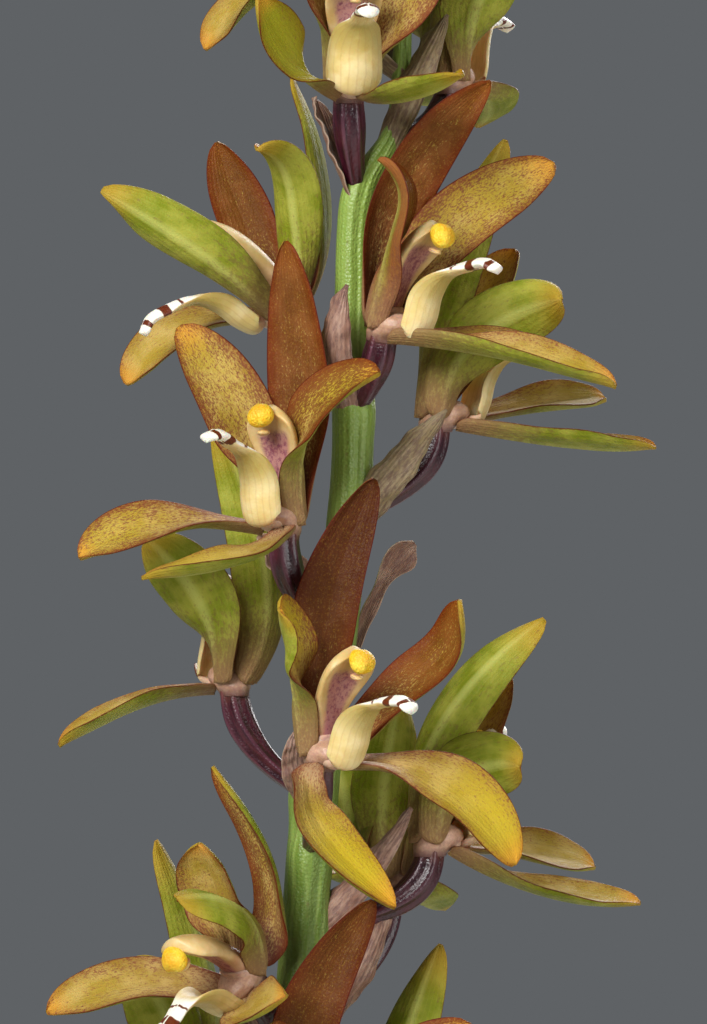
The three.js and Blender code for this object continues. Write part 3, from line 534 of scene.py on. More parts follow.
# Long veins: fine lines that run with the growth. Across goes from -1 to 1 and Count is the
# number of veins on each side. They waver a little with the place.
veins, mixer, given, made = new_effect(
    "long_veins", {"Place": None, "Across": 0.0, "Count": 8.0, "Waver": 0.3}, ["Line", "Height"]
)
waver = mixer.times(mixer.calc("SUBTRACT", mixer.noise(given["Place"], 0.35, 2.0), 0.5), given["Waver"])
turn = mixer.times(mixer.times(given["Across"], given["Count"]), 2 * np.pi)
wave = mixer.calc("COSINE", mixer.plus(turn, mixer.times(waver, 12.0)))
mixer.tree.links.new(mixer.ramp(wave, 0.55, 1.0), made["Line"])
mixer.tree.links.new(mixer.plus(mixer.times(wave, 0.5), 0.5), made["Height"])

# Stipple: small irregular dots that run together as their share of the surface grows.
stipple, mixer, given, made = new_effect(
    "stipple", {"Place": None, "Per mm": 1.5, "Share": 0.3}, ["Mask"]
)
dots = mixer.noise(given["Place"], given["Per mm"], 4.0, 0.68)
drift = mixer.noise(given["Place"], mixer.times(given["Per mm"], 0.17), 2.0, 0.5)
dots = mixer.plus(mixer.times(dots, 0.84), mixer.times(drift, 0.16))
edge = mixer.ramp(given["Share"], 0.0, 1.0, 0.64, 0.36)
sharp = mixer.times(mixer.calc("SUBTRACT", dots, edge), 8.0)
mixer.tree.links.new(mixer.calc("ADD", sharp, 0.5, clamp=True), made["Mask"])


def sheath_loops(rings, slant, bearing, ribs, flutes):
    """Loops up the outside and down the inside. The wall is fluted by a cosine of the
    bearing, and its mouth drops by slant on the side away from bearing, as 1 - cosine."""
    line = rounded(rings, SHEATH_MESH["step"], 4)
    inside = line[::-1] - [SHEATH_WALL, 0]
    line = np.concatenate([line, inside])
    loops = turned(line, SHEATH_MESH["round"])
    angle = np.arctan2(loops[..., 1], loops[..., 0])
    height = loops[..., 2]
    low, top = rings[-2][1], rings[-1][1]
    share = ease(height, low - 20, top)
    ragged = 0.5 * np.sin(angle * 5 + 1) + 0.35 * np.sin(angle * 13) + 0.2 * np.sin(angle * 31)
    drop = share * slant * (1 - np.cos(angle - np.radians(bearing))) / 2 + share * (ragged + 0.9)
    swell = flutes * np.cos(angle * ribs) * ease(height, 95, 125)
    swell = swell + 0.25 * np.sin(2 * angle + 0.05 * height)
    loops[..., :2] *= (1 + swell / line[:, :1])[..., None]
    loops[..., 2] -= drop
    run = np.stack([ease(height, 85, top), angle / np.pi, share + 0 * angle], -1)
    sheet = np.stack([height, angle * line[:, :1], 0 * angle], -1)
    return skin(loops, run, sheet, ring=True)


def sheath_skin(name, fresh, aged, purple, mouth, share):
    """A ribbed, papery skin: fresh and aged patches, purple stipple and a dried mouth."""
    look, mixer = new_look(name, {"Specular IOR Level": 0.4})
    up, around, lip = mixer.marks("run")
    sheet = mixer.mark("sheet")
    place = mixer.place()
    tone = mixer.effect(patches, place, 0.06, share)[0]
    ribs = mixer.effect(veins, place, around, 36.0, 0.25)
    dots = mixer.effect(stipple, mixer.stretch(sheet, 0.3, 1, 1), 0.9, 0.32)
    mixer.base(tone, fresh, aged)
    mixer.coat(aged, ribs["Line"], 0.35)
    mixer.coat(purple, dots[0], 0.5)
    mixer.coat(mouth, mixer.ramp(lip, 0.55, 1.0))
    mixer.coat("#4a3a28", mixer.ramp(up, 0.0, 0.4, 0.8, 0.0))
    fibres = mixer.noise(mixer.stretch(sheet, 0.15, 3, 1), 1.6, 4.0, 0.6)
    height = mixer.plus(mixer.times(ribs["Height"], 0.6), mixer.times(fibres, 0.5))
    roughness = mixer.ramp(fibres, 0.3, 0.7, 0.5, 0.75)
    mixer.pour(roughness, mixer.bump(height, 0.25))
    return look


green_sheath = sheath_skin("green_sheath", "#93a05c", "#b3a878", "#7d5a55", "#8a6a45", 0.35)
dry_sheath = sheath_skin("dry_sheath", "#a48b62", "#7c6142", "#5c4330", "#6b5136", 0.55)
piece("sheath_long_ribbed", [sheath_loops(**LONG_SHEATH)], [green_sheath], "sheath_green", "sheath_long")

bearing = chance.uniform(0, 2 * np.pi, FRAYED_FIBRES)
mouth = SHORT_SHEATH["rings"][-1][1] - SHORT_SHEATH["slant"] * (1 - np.cos(bearing - np.radians(60))) / 2
mouth_radius = SHORT_SHEATH["rings"][-1][0] - 0.5
foot = np.column_stack([mouth_radius * np.cos(bearing), mouth_radius * np.sin(bearing), mouth - 4])
aside = chance.normal(0, 0.5, (FRAYED_FIBRES, 2))
rise = np.column_stack([aside, chance.uniform(3.5, 6.5, FRAYED_FIBRES)])
frayed = shoots(foot, foot + rise, np.full(FRAYED_FIBRES, 0.3), np.zeros((FRAYED_FIBRES, 3)))
piece(
    "sheath_short_frayed", [sheath_loops(**SHORT_SHEATH), frayed], [dry_sheath],
    "sheath_dry", "sheath_short",
)


# The leaves: two long pleated blades on channelled stalks that rise inside the sheaths.
# Five strong veins lie in the pleats and finer ones run beside them. The upper face is deep
# green and waxy, the lower one paler.
LEAVES = {
    "leaf_left": [
        [-5.4, 2, 106.8], [-5.8, 2.4, 226], [-34, -12, 352], [-118, -46, 416], [-196, -84, 318],
    ],
    "leaf_right": [
        [5.4, 3.4, 106.8], [5.8, 3.8, 226], [40, 18, 342], [112, 52, 398], [182, 88, 286],
    ],
}
LEAF = {"width": 78, "thick": 1.1, "petiole": 7.4, "petiole_thick": 3.4, "pleat": 2.2, "wave": 3}
LEAF_MESH = {"rows": 190, "round": 116}


def smooth_path(knots, share):
    """A centripetal Catmull-Rom curve through knots. Each span is a cubic whose end slopes
    weigh the chords beside it by the square root of their lengths."""
    knots = np.array(knots, float)
    knots = np.concatenate([[2 * knots[0] - knots[1]], knots, [2 * knots[-1] - knots[-2]]])
    spans = len(knots) - 3
    span = np.minimum((share * spans).astype(int), spans - 1)
    s = (share * spans - span)[:, None]
    p0, p1, p2, p3 = (knots[span + k] for k in range(4))
    d0, d1, d2 = (
        np.sqrt(np.linalg.norm(b - a, axis=1, keepdims=True)) for a, b in ((p0, p1), (p1, p2), (p2, p3))
    )
    slope1 = ((p1 - p0) / d0 - (p2 - p0) / (d0 + d1) + (p2 - p1) / d1) * d1
    slope2 = ((p2 - p1) / d1 - (p3 - p1) / (d1 + d2) + (p3 - p2) / d2) * d1
    return (
        p1 + slope1 * s + (3 * (p2 - p1) - 2 * slope1 - slope2) * s**2
        + (2 * (p1 - p2) + slope1 + slope2) * s**3
    )


def even_path(knots, share):
    """The curve through knots, with share counted by length along it."""
    fine = smooth_path(knots, np.linspace(0, 1, 1200))
    far = walked(fine)
    return np.stack([np.interp(share * far[-1], far, part) for part in fine.T], -1)


def slopes(points):
    """The direction of a line at each of its points, from the points on either side."""
    return unit(np.gradient(points, axis=0))


def outline(share, foot, peak, blunt):
    """Half-width of a blade: foot at its start, 1 at peak and a blunt point at its end,
    where the square of the way past peak is taken from 1 and raised to blunt."""
    past = np.clip((share - peak) / (1 - peak), 0, 1)
    tip = np.maximum(0.06, (1 - past**2) ** blunt)
    return np.where(share < peak, mix(foot, 1, ease(share, 0, peak)), tip)


def blade(line, half, fold, thick, relief, count, tint=(0, 0, 0), look=0, seed=0.0):
    """A thin sheet along a line, in loops. Its section is an arc, 2 * half long, that turns
    towards the inner face by fold radians on each side. At angle a the loop lies at share
    v = sin(a) of the way to the edge, relief(t, v) + thick / 2 * cos(a) off the arc."""
    t, half, fold, thick = (
        (value + 0 * line["t"])[:, None] for value in (line["t"], half, fold, thick)
    )
    angle = round_turn(count)
    v = np.sin(angle) + 0 * t
    face = np.cos(angle) + 0 * t
    bow = np.where(np.abs(fold) < 0.001, 0.001, fold)
    radius = half / bow
    lift = relief(t, v) + thick / 2 * face
    aside = radius * np.sin(bow * v) - lift * np.sin(bow * v)
    inwards = radius * (1 - np.cos(bow * v)) + lift * np.cos(bow * v)
    points = (
        line["at"][:, None] + line["across"][:, None] * aside[..., None]
        + line["inner"][:, None] * inwards[..., None]
    )
    far = walked(line["at"])[:, None] + 0 * v
    return skin(
        points, np.stack([t + 0 * v, v, face], -1), np.stack([far, half * v, seed + 0 * v], -1),
        tint, look,
    )


# Plump cells: the skin of a living leaf or petal, in tiny domes that catch the light.
cells, mixer, given, made = new_effect("plump_cells", {"Place": None, "Per mm": 5.0}, ["Height"])
domes = mixer.add("TexVoronoi", {"Vector": given["Place"], "Scale": given["Per mm"]}).outputs["Distance"]
uneven = mixer.noise(given["Place"], mixer.times(given["Per mm"], 0.4), 2.0)
height = mixer.plus(mixer.calc("SUBTRACT", 1.0, domes), uneven)
mixer.tree.links.new(height, made["Height"])

leaf_look, dye = new_look(
    "leaf_blade", {"Subsurface Weight": 0.08, "Subsurface Scale": 0.001, "Specular IOR Level": 0.5}
)
place = dye.place()
along, across, face = dye.marks("run")
sheet = dye.mark("sheet")
upper = dye.ramp(face, -0.08, 0.08)
tone = dye.effect(patches, place, 0.02, 0.5)[0]
strong = dye.effect(veins, place, across, 2.0, 0.02)
fine_veins = dye.effect(veins, place, across, 20.0, 0.08)
mottle = dye.noise(dye.stretch(sheet, 0.25, 1, 1), 1.2, 4.0, 0.6)
green = dye.blend(tone, "#3c601a", "#4f7426")
green = dye.blend(dye.ramp(mottle, 0.35, 0.7, 0.0, 0.45), green, "#5f8f37")
under = dye.blend(tone, "#6b8f4a", "#7ea05a")
dye.base(upper, under, green)
dye.coat("#86ab52", fine_veins["Line"], 0.3)
dye.coat("#8fb057", strong["Line"], 0.28)
stalk_share = dye.ramp(along, 0.2, 0.45, 1.0, 0.0)
dye.coat("#a9b877", stalk_share, 0.7)
tip_share = dye.ramp(along, 0.955, 0.995)
dye.coat("#8a6a3a", tip_share, 0.8)
margin = dye.ramp(dye.calc("ABSOLUTE", face), 0.05, 0.2, 0.6, 0.0)
dye.coat("#a9b06a", margin)
ridge = dye.plus(dye.times(fine_veins["Height"], 0.8), dye.times(mottle, 0.25))
skin_cells = dye.effect(cells, place, 2.2)[0]
normal = dye.bump(skin_cells, 0.03, dye.bump(ridge, 0.3))
dye.pour(dye.ramp(mottle, 0.3, 0.7, 0.34, 0.5), normal)

for number, (name, knots) in enumerate(LEAVES.items()):
    t = np.linspace(0, 1, LEAF_MESH["rows"])
    at = even_path(knots, t)
    tip_x, tip_y = knots[-1][:2]
    bearing = np.arctan2(tip_y, tip_x) - np.pi / 2
    across = np.broadcast_to([np.cos(bearing), np.sin(bearing), 0], at.shape)
    line = {"t": t, "at": at, "across": across, "inner": unit(np.cross(across, slopes(at)))}
    opened = ease(t, 0.3, 0.62)
    taper = np.where(t < 0.62, 1, outline(t, 0, 0.62, 0.85))
    half = mix(LEAF["petiole"], LEAF["width"], opened) / 2 * taper
    thick = mix(LEAF["petiole_thick"], LEAF["thick"], ease(t, 0.3, 0.45)) * (1 - 0.5 * ease(t, 0.95, 1))
    fold = mix(1.0, 0.28, opened)

    def pleats(t, v):
        """Four pleats, finer ones between them, a waved edge and ripples near it."""
        open_share = ease(t, 0.3, 0.62)
        depth = LEAF["pleat"] * open_share * (1 - ease(t, 0.85, 1))
        wave = LEAF["wave"] * np.sin(t * 26) * open_share * (1 - ease(t, 0.9, 1))
        ripple = 0.5 * np.sin(t * 71 + 2 * number) * np.abs(v) ** 3 * open_share
        fine = 0.12 * np.cos(24 * np.pi * v) * open_share * (1 - ease(t, 0.8, 1))
        return depth * np.cos(4 * np.pi * v) + wave * v * np.abs(v) + ripple + fine

    leaf = blade(line, half, fold, thick, pleats, LEAF_MESH["round"])
    piece(name + "_blade", [leaf], [leaf_look], "leaf", name)


# The stem: one fleshy green axis from the corm to the tip of the raceme, ribbed below each
# bloom. Each bloom stands on a stalk that swells into its ovary, over a papery bract, and
# two empty bracts clasp the bare part. All of it grew as one body.
STEM = [
    [0.5, -5, 106.7, 3.6], [0.5, -5, 170, 3.6], [-0.5, -4.5, 240, 3.4], [-3, -3, 320, 3.1],
    [-2.5, -1, 400, 2.9], [0.3, 0, 450, 2.7], [2.1, 0, 476, 2.6], [4.1, 0, 500, 2.5],
    [6, 0, 515, 2.4], [7.9, 0, 533, 2.35], [8.1, 0, 553, 2.1], [8.9, 0, 565, 1.9],
    [12.6, 0.4, 572, 1.05], [13.7, 0.8, 584, 0.95], [13.6, 0.6, 599, 0.85], [13, 0.4, 606, 0.8],
]
CLASPS = [[292, 215, 62], [372, 40, 50]]
CLASP = {"half": 4.2, "thick": 0.7, "fold": 1.1, "off": 2.6, "flare": 1.2}
BRACT = {"half": 2.3, "thick": 0.55, "fold": 0.8}
OVARY_RADII = [0.9, 1.2, 1.75, 1.5]
OVARY_RIBS = 6
STEM_MESH = {"rows": 560, "round": 52}
STALK_MESH = {"rows": 40, "round": 36}
BRACT_MESH = {"rows": 44, "round": 28}
CLASP_MESH = {"rows": 60, "round": 36}

# Each bloom's stalk leaves the stem at node, its ovary ends at base and it looks towards faces.
# nod tips the bloom forwards, droop the lip alone, and broad widens the lip's body.
# The tepals are dorsal, two petals, two sepals: mid and tip counted from the base, where the
# inner face turns, and what is its own. shades is how far each is stained, golds how yellow.
# A bract runs from the node through two points, its inner face towards hood; spoon gives it the narrow
# stalk and round tip of a dried one.
BLOOMS = [
    dict(
        node=564.5, base=(7.6, -4, 575.4), faces=(0.15, -0.99), broad=1.25,
        shades=(0.7, 0.6, 0.6, 0.1, 0.1), golds=(0.3, 0.3, 0.3, 1, 1),
        tepals=[
            [(0.2, 2.4, 14.2), (1.7, 4, 29.2), (0.15, -0.99, 0)],
            [(-3, -1, 10.9), (-5.6, -3, 22), (0.8, -0.6, 0)],
            [(5.3, 0, 8.7), (11.3, -1, 18), (-0.5, -0.85, 0)],
            [(-6.2, -8, 3.4), (-9.8, -14, 9.6), (0.3, -0.9, 0.5)],
            [(6.4, -9, -0.6), (12.4, -15, 1.2), (0.1, -0.2, 1)],
        ],
        bract=[(-3, -1.4, 5.6), (-5, -1.8, 11)],
    ),
    dict(
        node=545, base=(1.2, 3.4, 551.6), faces=(-0.95, -0.3), nod=24, droop=14,
        shades=(0.8, 1.0, 0.35, 0.3, 0.3),
        tepals=[
            [(3.8, 0.4, 12.4), (0, 1, 26.6), (-1, 0.1, 0)],
            [(-4.2, 4, 8.2), (-8.4, 5, 19.6), (0, -1, 0), dict(width=6.8)],
            [(0.6, -4, 9.6), (-1.6, -5.6, 22.6), (0.5, 1, 0), dict(width=6.6, fold=52, recurve=80)],
            [(-11.4, 3.4, -1.6), (-18.6, 4, -7.8), (0.2, -0.5, 0.8)],
            [(-9.2, -10, 6), (-20.7, -10, 13.2), (0.1, 0.9, 0.4), dict(width=7.6, fold=62)],
        ],
        bract=[(-5, 0.4, 2), (-9, 2.4, 5)],
    ),
    dict(
        node=540.5, base=(11.4, -5, 549.1), faces=(0.8, -0.6), nod=10, droop=-8,
        shades=(0.95, 1.15, 0.55, 0.35, 0.35), golds=(0.2, 0.8, 0.45, 0.4, 0.6),
        tepals=[
            [(1.4, 2.6, 15), (12, 2, 28), (0.45, -0.85, 0)],
            [(1.2, -4.8, 10), (4.2, -6.4, 19.6), (0.9, -0.1, 0), dict(width=7, recurve=70)],
            [(6.8, 2.5, 10.6), (19.1, 5, 19.1), (-0.2, -0.95, 0.2)],
            [(13.4, -5.6, -2.4), (25.4, -6.6, -6), (-0.1, -0.3, 0.95), dict(fold=62)],
            [(12.4, 0.4, -1.3), (22.4, 0.4, -3.4), (0, -0.3, 1)],
        ],
        bract=[(-2.2, -5.6, 6.6), (-0.6, -6.6, 14)], hood=(0.45, 0.9, 0.1),
    ),
    dict(
        node=515.8, base=(0.6, -7, 527.4), faces=(-0.6, -0.8), nod=-9,
        shades=(0.95, 0.56, 0.75, 0.55, 0.3), golds=(0.2, 0.4, 0.8, 0.6, 0.7),
        tepals=[
            [(1.9, 1.6, 15.6), (0, 1, 31.9), (-0.3, -0.95, 0)],
            [(-4.3, 2, 11.1), (-11.7, 3, 22.6), (0.2, -0.95, 0.1)],
            [(2.7, -3.6, 11.7), (10.4, -8, 17.1), (-0.4, -0.6, 0.7)],
            [(-13.6, -4, 0.6), (-22.3, -5, -3), (0, -0.6, 0.8)],
            [(-4.1, -9.4, -2.8), (-15.2, -13, -5), (0, -0.1, 1)],
        ],
        bract=[(-5, 1.5, 7), (-8.6, 1.5, 11)],
    ),
    dict(
        node=528.6, base=(17.3, 2, 539.3), faces=(0.9, 0.43),
        shades=(0.5, 0.5, 0.5, 0.4, 0.3),
        tepals=[
            [(1.1, 1, 15.3), (7.9, 5, 32), (0.6, 0.8, 0)],
            [(4.4, -2.6, 9.2), (15.9, -3, 14.4), (0.2, 0.95, 0.1), dict(fold=44, recurve=60)],
            [(3.7, 4.6, 10.3), (9.2, 8.6, 19.8), (-0.5, -0.6, 0)],
            [(13.9, -1, -1.9), (24.4, -3, -2.6), (0, 0, 1)],
            [(12, 6, 2.2), (19.4, 8, 2.9), (0, -0.4, 0.9)],
        ],
        bract=[(4.6, -3.2, 4.6), (10.8, -4, 12)],
    ),
    dict(
        node=498, base=(-5.1, 2, 509.9), faces=(-0.5, 0.87), droop=-30,
        shades=(0.5, 0.45, 0.45, 0.35, 0.3),
        tepals=[
            [(3.3, 0.6, 12.6), (-2.4, 2, 29.6), (-0.5, 0.85, 0)],
            [(2.9, 5, 9), (2.7, 10, 16), (-0.9, 0.2, 0)],
            [(-3.4, -4, 9), (-9.6, -6, 16.8), (0.3, 0.95, 0)],
            [(-1.5, 10, 0.4), (-0.5, 19, 1.4), (0.1, -0.2, 1)],
            [(-10.7, -3, -1.7), (-19.3, -5, -6.3), (0, 0, 1)],
        ],
        bract=[(-1.6, -3.4, 4), (-1.6, -4.4, 8)],
    ),
    dict(
        node=491.3, base=(4.5, -10, 502.2), faces=(0.62, -0.78), nod=6,
        shades=(1.3, 0.5, 0.9, 0.34, 0.32), golds=(0.2, 0.9, 0.5, 1, 0.9),
        tepals=[
            [(0.4, 2, 15.8), (5.9, 3.4, 31), (0.1, -1, 0)],
            [(-2.9, -3, 11.3), (-4.3, -8, 16.8), (0.5, -0.5, 0.5)],
            [(9.4, 0.6, 7.6), (19, 2.6, 15.4), (-0.5, -0.55, 0.65), dict(recurve=-60)],
            [(-0.6, -5.6, -6.2), (8.2, -7.5, -15.4), (0.7, -0.7, 0.25)],
            [(13.8, -4, -2.4), (21.2, -4.4, -11), (0.2, -0.85, 0.5)],
        ],
        bract=[(4.6, 1.6, 22), (11.6, 3, 34.6)], spoon=True,
    ),
    dict(
        node=483.5, base=(16.7, 4, 491.9), faces=(0.88, 0.47), droop=-34,
        shades=(0.5, 0.5, 0.5, 0.3, 0.3),
        tepals=[
            [(1.3, 1, 13.3), (12.9, 2, 25.6), (0.5, 0.8, -0.3)],
            [(3.3, -3.4, 7.8), (11.6, -4.4, 10), (0.1, 1, 0.1), dict(fold=44, recurve=60)],
            [(4.2, 4.6, 10.6), (8.8, 6.6, 19.4), (-0.5, -0.7, 0)],
            [(12.6, -1, -4.7), (23.4, -3, -5.9), (0, -0.2, 1)],
            [(10.9, 5, -0.8), (18.8, 7, -2.7), (0, -0.5, 0.9)],
        ],
        bract=[(6, -1, 5.4), (12, -0.4, 13)],
    ),
    dict(
        node=466.9, base=(-3.4, -6, 478.2), faces=(-0.6, -0.8), nod=50,
        shades=(0.7, 0.4, 0.75, 0.4, 0.35),
        tepals=[
            [(2.8, 1, 10.4), (-4, 2, 23.2), (-0.9, -0.3, 0)],
            [(-3.4, 0.2, 8.6), (-5.4, -2.6, 15), (-0.4, -0.6, -0.6)],
            [(-0.8, -6.6, 7.6), (-7.4, -13, 9.6), (-0.5, 0.3, -0.9)],
            [(-11.6, -2, -0.6), (-22, -4, -3.4), (0, -0.6, 0.8)],
            [(0.4, -7.6, -2.6), (4.4, -14, -0.6), (-0.3, -0.6, 0.6)],
        ],
        bract=[(-5, 1, 6), (-8, 2, 13)],
    ),
    dict(
        node=448, base=(2.4, -9, 457.4), faces=(0.35, -0.94),
        shades=(1.2, 0.7, 0.7, 0.35, 0.35),
        tepals=[
            [(0.3, 2.4, 15), (7.9, 3, 29.4), (0.1, -1, 0)],
            [(-1.9, -2.6, 9), (-3.6, -7, 16.4), (0.6, -0.5, 0.4)],
            [(8.6, 1, 8), (18.8, 2, 15.8), (-0.1, -0.95, 0.3)],
            [(-5, -7, -5), (-6, -11, -15), (0, -0.9, 0.5)],
            [(10, -6, -3), (19, -8, -9), (0.2, -0.8, 0.5)],
        ],
        bract=[(5, -2, 5), (10, -2.4, 10)],
    ),
    dict(
        node=571, base=(18.9, 5, 577.1), faces=(0.45, 0.89),
        shades=(0.6, 0.5, 0.5, 0.35, 0.35),
        tepals=[
            [(1, -1.6, 13), (4.5, 2, 26), (0.4, 0.9, 0)],
            [(2.9, -2.8, 8.7), (7.6, -4, 17.6), (-0.2, 0.95, 0)],
            [(-3.2, 2.6, 9.6), (-4.6, 6, 19), (0.5, 0.8, 0)],
            [(4.6, 9, -1), (3.6, 19, -3), (0, 0, 1)],
            [(-1, 10, -0.6), (-5, 19, 0), (0, 0, 1)],
        ],
        bract=[(2.4, -1.8, 6.4), (6.4, -3, 13.6)],
    ),
    dict(
        node=471.3, base=(12.2, 7.8, 487.6), faces=(0.2, 0.98),
        shades=(0.6, 0.5, 0.5, 0.35, 0.35),
        tepals=[
            [(-0.6, -0.8, 11), (1.4, 4, 21.5), (0, 1, 0)],
            [(4.6, 2.6, 7.4), (7.4, 10.4, 13), (-0.6, 0.7, 0)],
            [(-4.4, 1.6, 8), (-6, 8.6, 15.4), (0.5, 0.8, 0)],
            [(3.4, 8, -2), (6.6, 17, -4), (0, 0, 1)],
            [(-3.6, 8, -0.4), (-7, 16, 2), (0, 0, 1)],
        ],
        bract=[(6.4, 0.4, 6), (10.4, 3, 15)],
    ),
]

# The blooms past these, below and above, take the form of one of them, turned about the
# vertical by turn degrees.
TURNED_BLOOMS = [
    dict(like=5, node=452, base=(-11, 6, 463), turn=28),
    dict(like=4, node=438, base=(11.5, 4, 448.6), turn=14),
    dict(like=1, node=579, base=(8, 7, 590), turn=-16),
    dict(like=4, node=590, base=(20.6, -1.6, 601), turn=-58),
]


def spun(vectors, axes, angles):
    """Vectors turned about unit axes: v cos + (axis x v) sin + axis (axis . v)(1 - cos)."""
    c, s = np.cos(angles), np.sin(angles)
    reach = (vectors * axes).sum(-1, keepdims=True)
    return vectors * c + np.cross(axes, vectors) * s + axes * reach * (1 - c)


def turned_bloom(like, node, base, turn):
    """A bloom in the form of another one, turned about the vertical."""

    def spin(vector):
        level = [*vector, 0][:3]
        return spun(np.array(level, float), np.array([0.0, 0, 1]), np.radians(turn))

    form = BLOOMS[like]
    return form | {
        "node": node, "base": base, "faces": spin(form["faces"]),
        "tepals": [[*map(spin, row[:3]), *row[3:]] for row in form["tepals"]],
        "bract": [spin(p) for p in form["bract"]],
    }


def stands(bloom):
    """A bloom's own directions. out is where it faces, side its right hand and up the way
    its column stands. nod tips out and up forwards together."""
    level = unit(np.array([*bloom["faces"], 0][:3], float))
    side = np.array([level[1], -level[0], 0])
    out = spun(level, side, -np.radians(bloom.get("nod", 0)))
    origin = np.array(bloom["base"], float)
    return {"origin": origin, "side": side, "out": out, "up": np.cross(side, out)}


def spot(stand, forward, height, right=0.0):
    """A place counted from the bloom's base along its own directions."""
    return stand["origin"] + (
        np.multiply.outer(forward, stand["out"]) + np.multiply.outer(height, stand["up"])
        + np.multiply.outer(right, stand["side"])
    )


def bend(start, middle, end, t):
    """A quadratic Bezier curve: start, middle and end weighed by (1-t)^2, 2t(1-t) and t^2."""
    t = t[:, None]
    return (1 - t) ** 2 * start + 2 * t * (1 - t) * middle + t**2 * end


def blade_line(base, mid, tip, look, hug, t, recurve=0.0):
    """The line of a blade from base through mid to tip, with its across and inner sides.
    The inner face turns from hug at the base to look further on. Past three fifths the line
    and its sides turn back about the across side, up to recurve degrees at the tip."""
    base, mid, tip = (np.array(p, float) for p in (base, mid, tip))
    point = bend(base, 2 * mid - (base + tip) / 2, tip, t)
    along = slopes(point)
    facing = mix(np.array(hug, float), np.array(look, float), ease(t, 0.1, 0.55)[:, None])
    across = unit(np.cross(along, facing))
    turn = -np.radians(recurve) * ease(t, 0.62, 1)[:, None]
    steps = np.diff(point, axis=0, prepend=point[:1])
    at = point[0] + np.cumsum(spun(steps, across, turn), axis=0)
    inner = unit(np.cross(across, spun(along, across, turn)))
    return {"t": t, "at": at, "across": across, "inner": inner}


def tube(at, along, hint, wide, deep, count, swell=1.0, look=0, tint=(0, 0, 0), seed=0.0):
    """Loops round a line: wide * cos(a) along the side nearest to hint and deep * sin(a)
    square to it, times swell, which may change with the point and the angle."""
    across = unit(hint - along * (hint * along).sum(-1, keepdims=True))
    square = np.cross(along, across)
    angle = round_turn(count)
    wide, deep = ((r + 0 * at[:, 0])[:, None] * swell for r in (wide, deep))
    points = (
        at[:, None] + across[:, None] * (wide * np.cos(angle))[..., None]
        + square[:, None] * (deep * np.sin(angle))[..., None]
    )
    t = np.linspace(0, 1, len(at))[:, None] + 0 * angle
    turn = angle / np.pi - 1 + 0 * t
    far = walked(at)[:, None] + 0 * t
    return skin(
        points, np.stack([t, turn, np.cos(angle) + 0 * t], -1),
        np.stack([far, turn * wide * np.pi, seed + 0 * t], -1), tint, look,
    )


ALL_BLOOMS = BLOOMS + [turned_bloom(**b) for b in TURNED_BLOOMS]
STANDS = [stands(bloom) for bloom in ALL_BLOOMS]
stem_share = np.linspace(0, 1, STEM_MESH["rows"])
stem_line = smooth_path([row[:3] for row in STEM], stem_share)
stem_radius = np.interp(stem_share * (len(STEM) - 1), range(len(STEM)), [row[3] for row in STEM])


def stem_at(height):
    """The point of the stem's line nearest to a height."""
    return stem_line[np.argmin(np.abs(stem_line[:, 2] - height))]


fresh, dye = new_look(
    "stem_flesh",
    {"Subsurface Weight": 0.06, "Subsurface Scale": 0.001, "Specular IOR Level": 0.4},
)
place = dye.place()
z = dye.parts(place)[2]
_, around, _ = dye.marks("run")
sheet = dye.mark("sheet")
tone = dye.noise(dye.stretch(sheet, 0.12, 1, 1), 0.9, 4.0, 0.6)
# Painted shade: the stem is darker green below the blooms and lighter green up among them.
high = dye.ramp(z, 430.0, 560.0)
dye.base(high, "#4a5f1e", "#86a046")
dye.coat("#a6ba68", dye.ramp(tone, 0.4, 0.75, 0.0, 0.5))
lines = dye.effect(veins, place, around, 11.0, 0.06)
dye.coat("#3f6a26", lines["Line"], 0.14)
dots = dye.effect(stipple, dye.stretch(sheet, 0.4, 1, 1), 1.4, 0.12)
dye.coat("#6f5138", dots[0], 0.5)
low_flush = dye.ramp(z, 150.0, 330.0, 0.6, 0.0)
dye.coat("#a7b673", low_flush)
domes = dye.effect(cells, place, 3.0)[0]
normal = dye.bump(domes, 0.07, dye.bump(lines["Height"], 0.035))
dye.pour(dye.ramp(tone, 0.3, 0.7, 0.32, 0.46), normal)

ovary, dye = new_look(
    "ovary_flesh", {"Specular IOR Level": 0.55, "Coat Weight": 0.25, "Coat Roughness": 0.2}
)
place = dye.place()
along, around, _ = dye.marks("run")
sheet = dye.mark("sheet")
ribs = dye.effect(veins, place, around, 3.0, 0.05)
tone = dye.noise(dye.stretch(sheet, 0.2, 1, 1), 1.4, 4.0, 0.6)
dye.base(dye.ramp(tone, 0.35, 0.7), "#2b0716", "#4d1424")
dye.coat("#7d4a5c", ribs["Line"], 0.3)
neck = dye.ramp(dye.plus(along, dye.times(tone, 0.12)), 0.9, 1.06)
dye.coat("#7d4a3c", neck, 0.5)
root = dye.ramp(along, 0.0, 0.16, 0.9, 0.0)
dye.coat("#7f8d4c", root)
domes = dye.effect(cells, place, 3.5)[0]
normal = dye.bump(domes, 0.04)
dye.pour(dye.ramp(tone, 0.3, 0.7, 0.26, 0.42), normal)

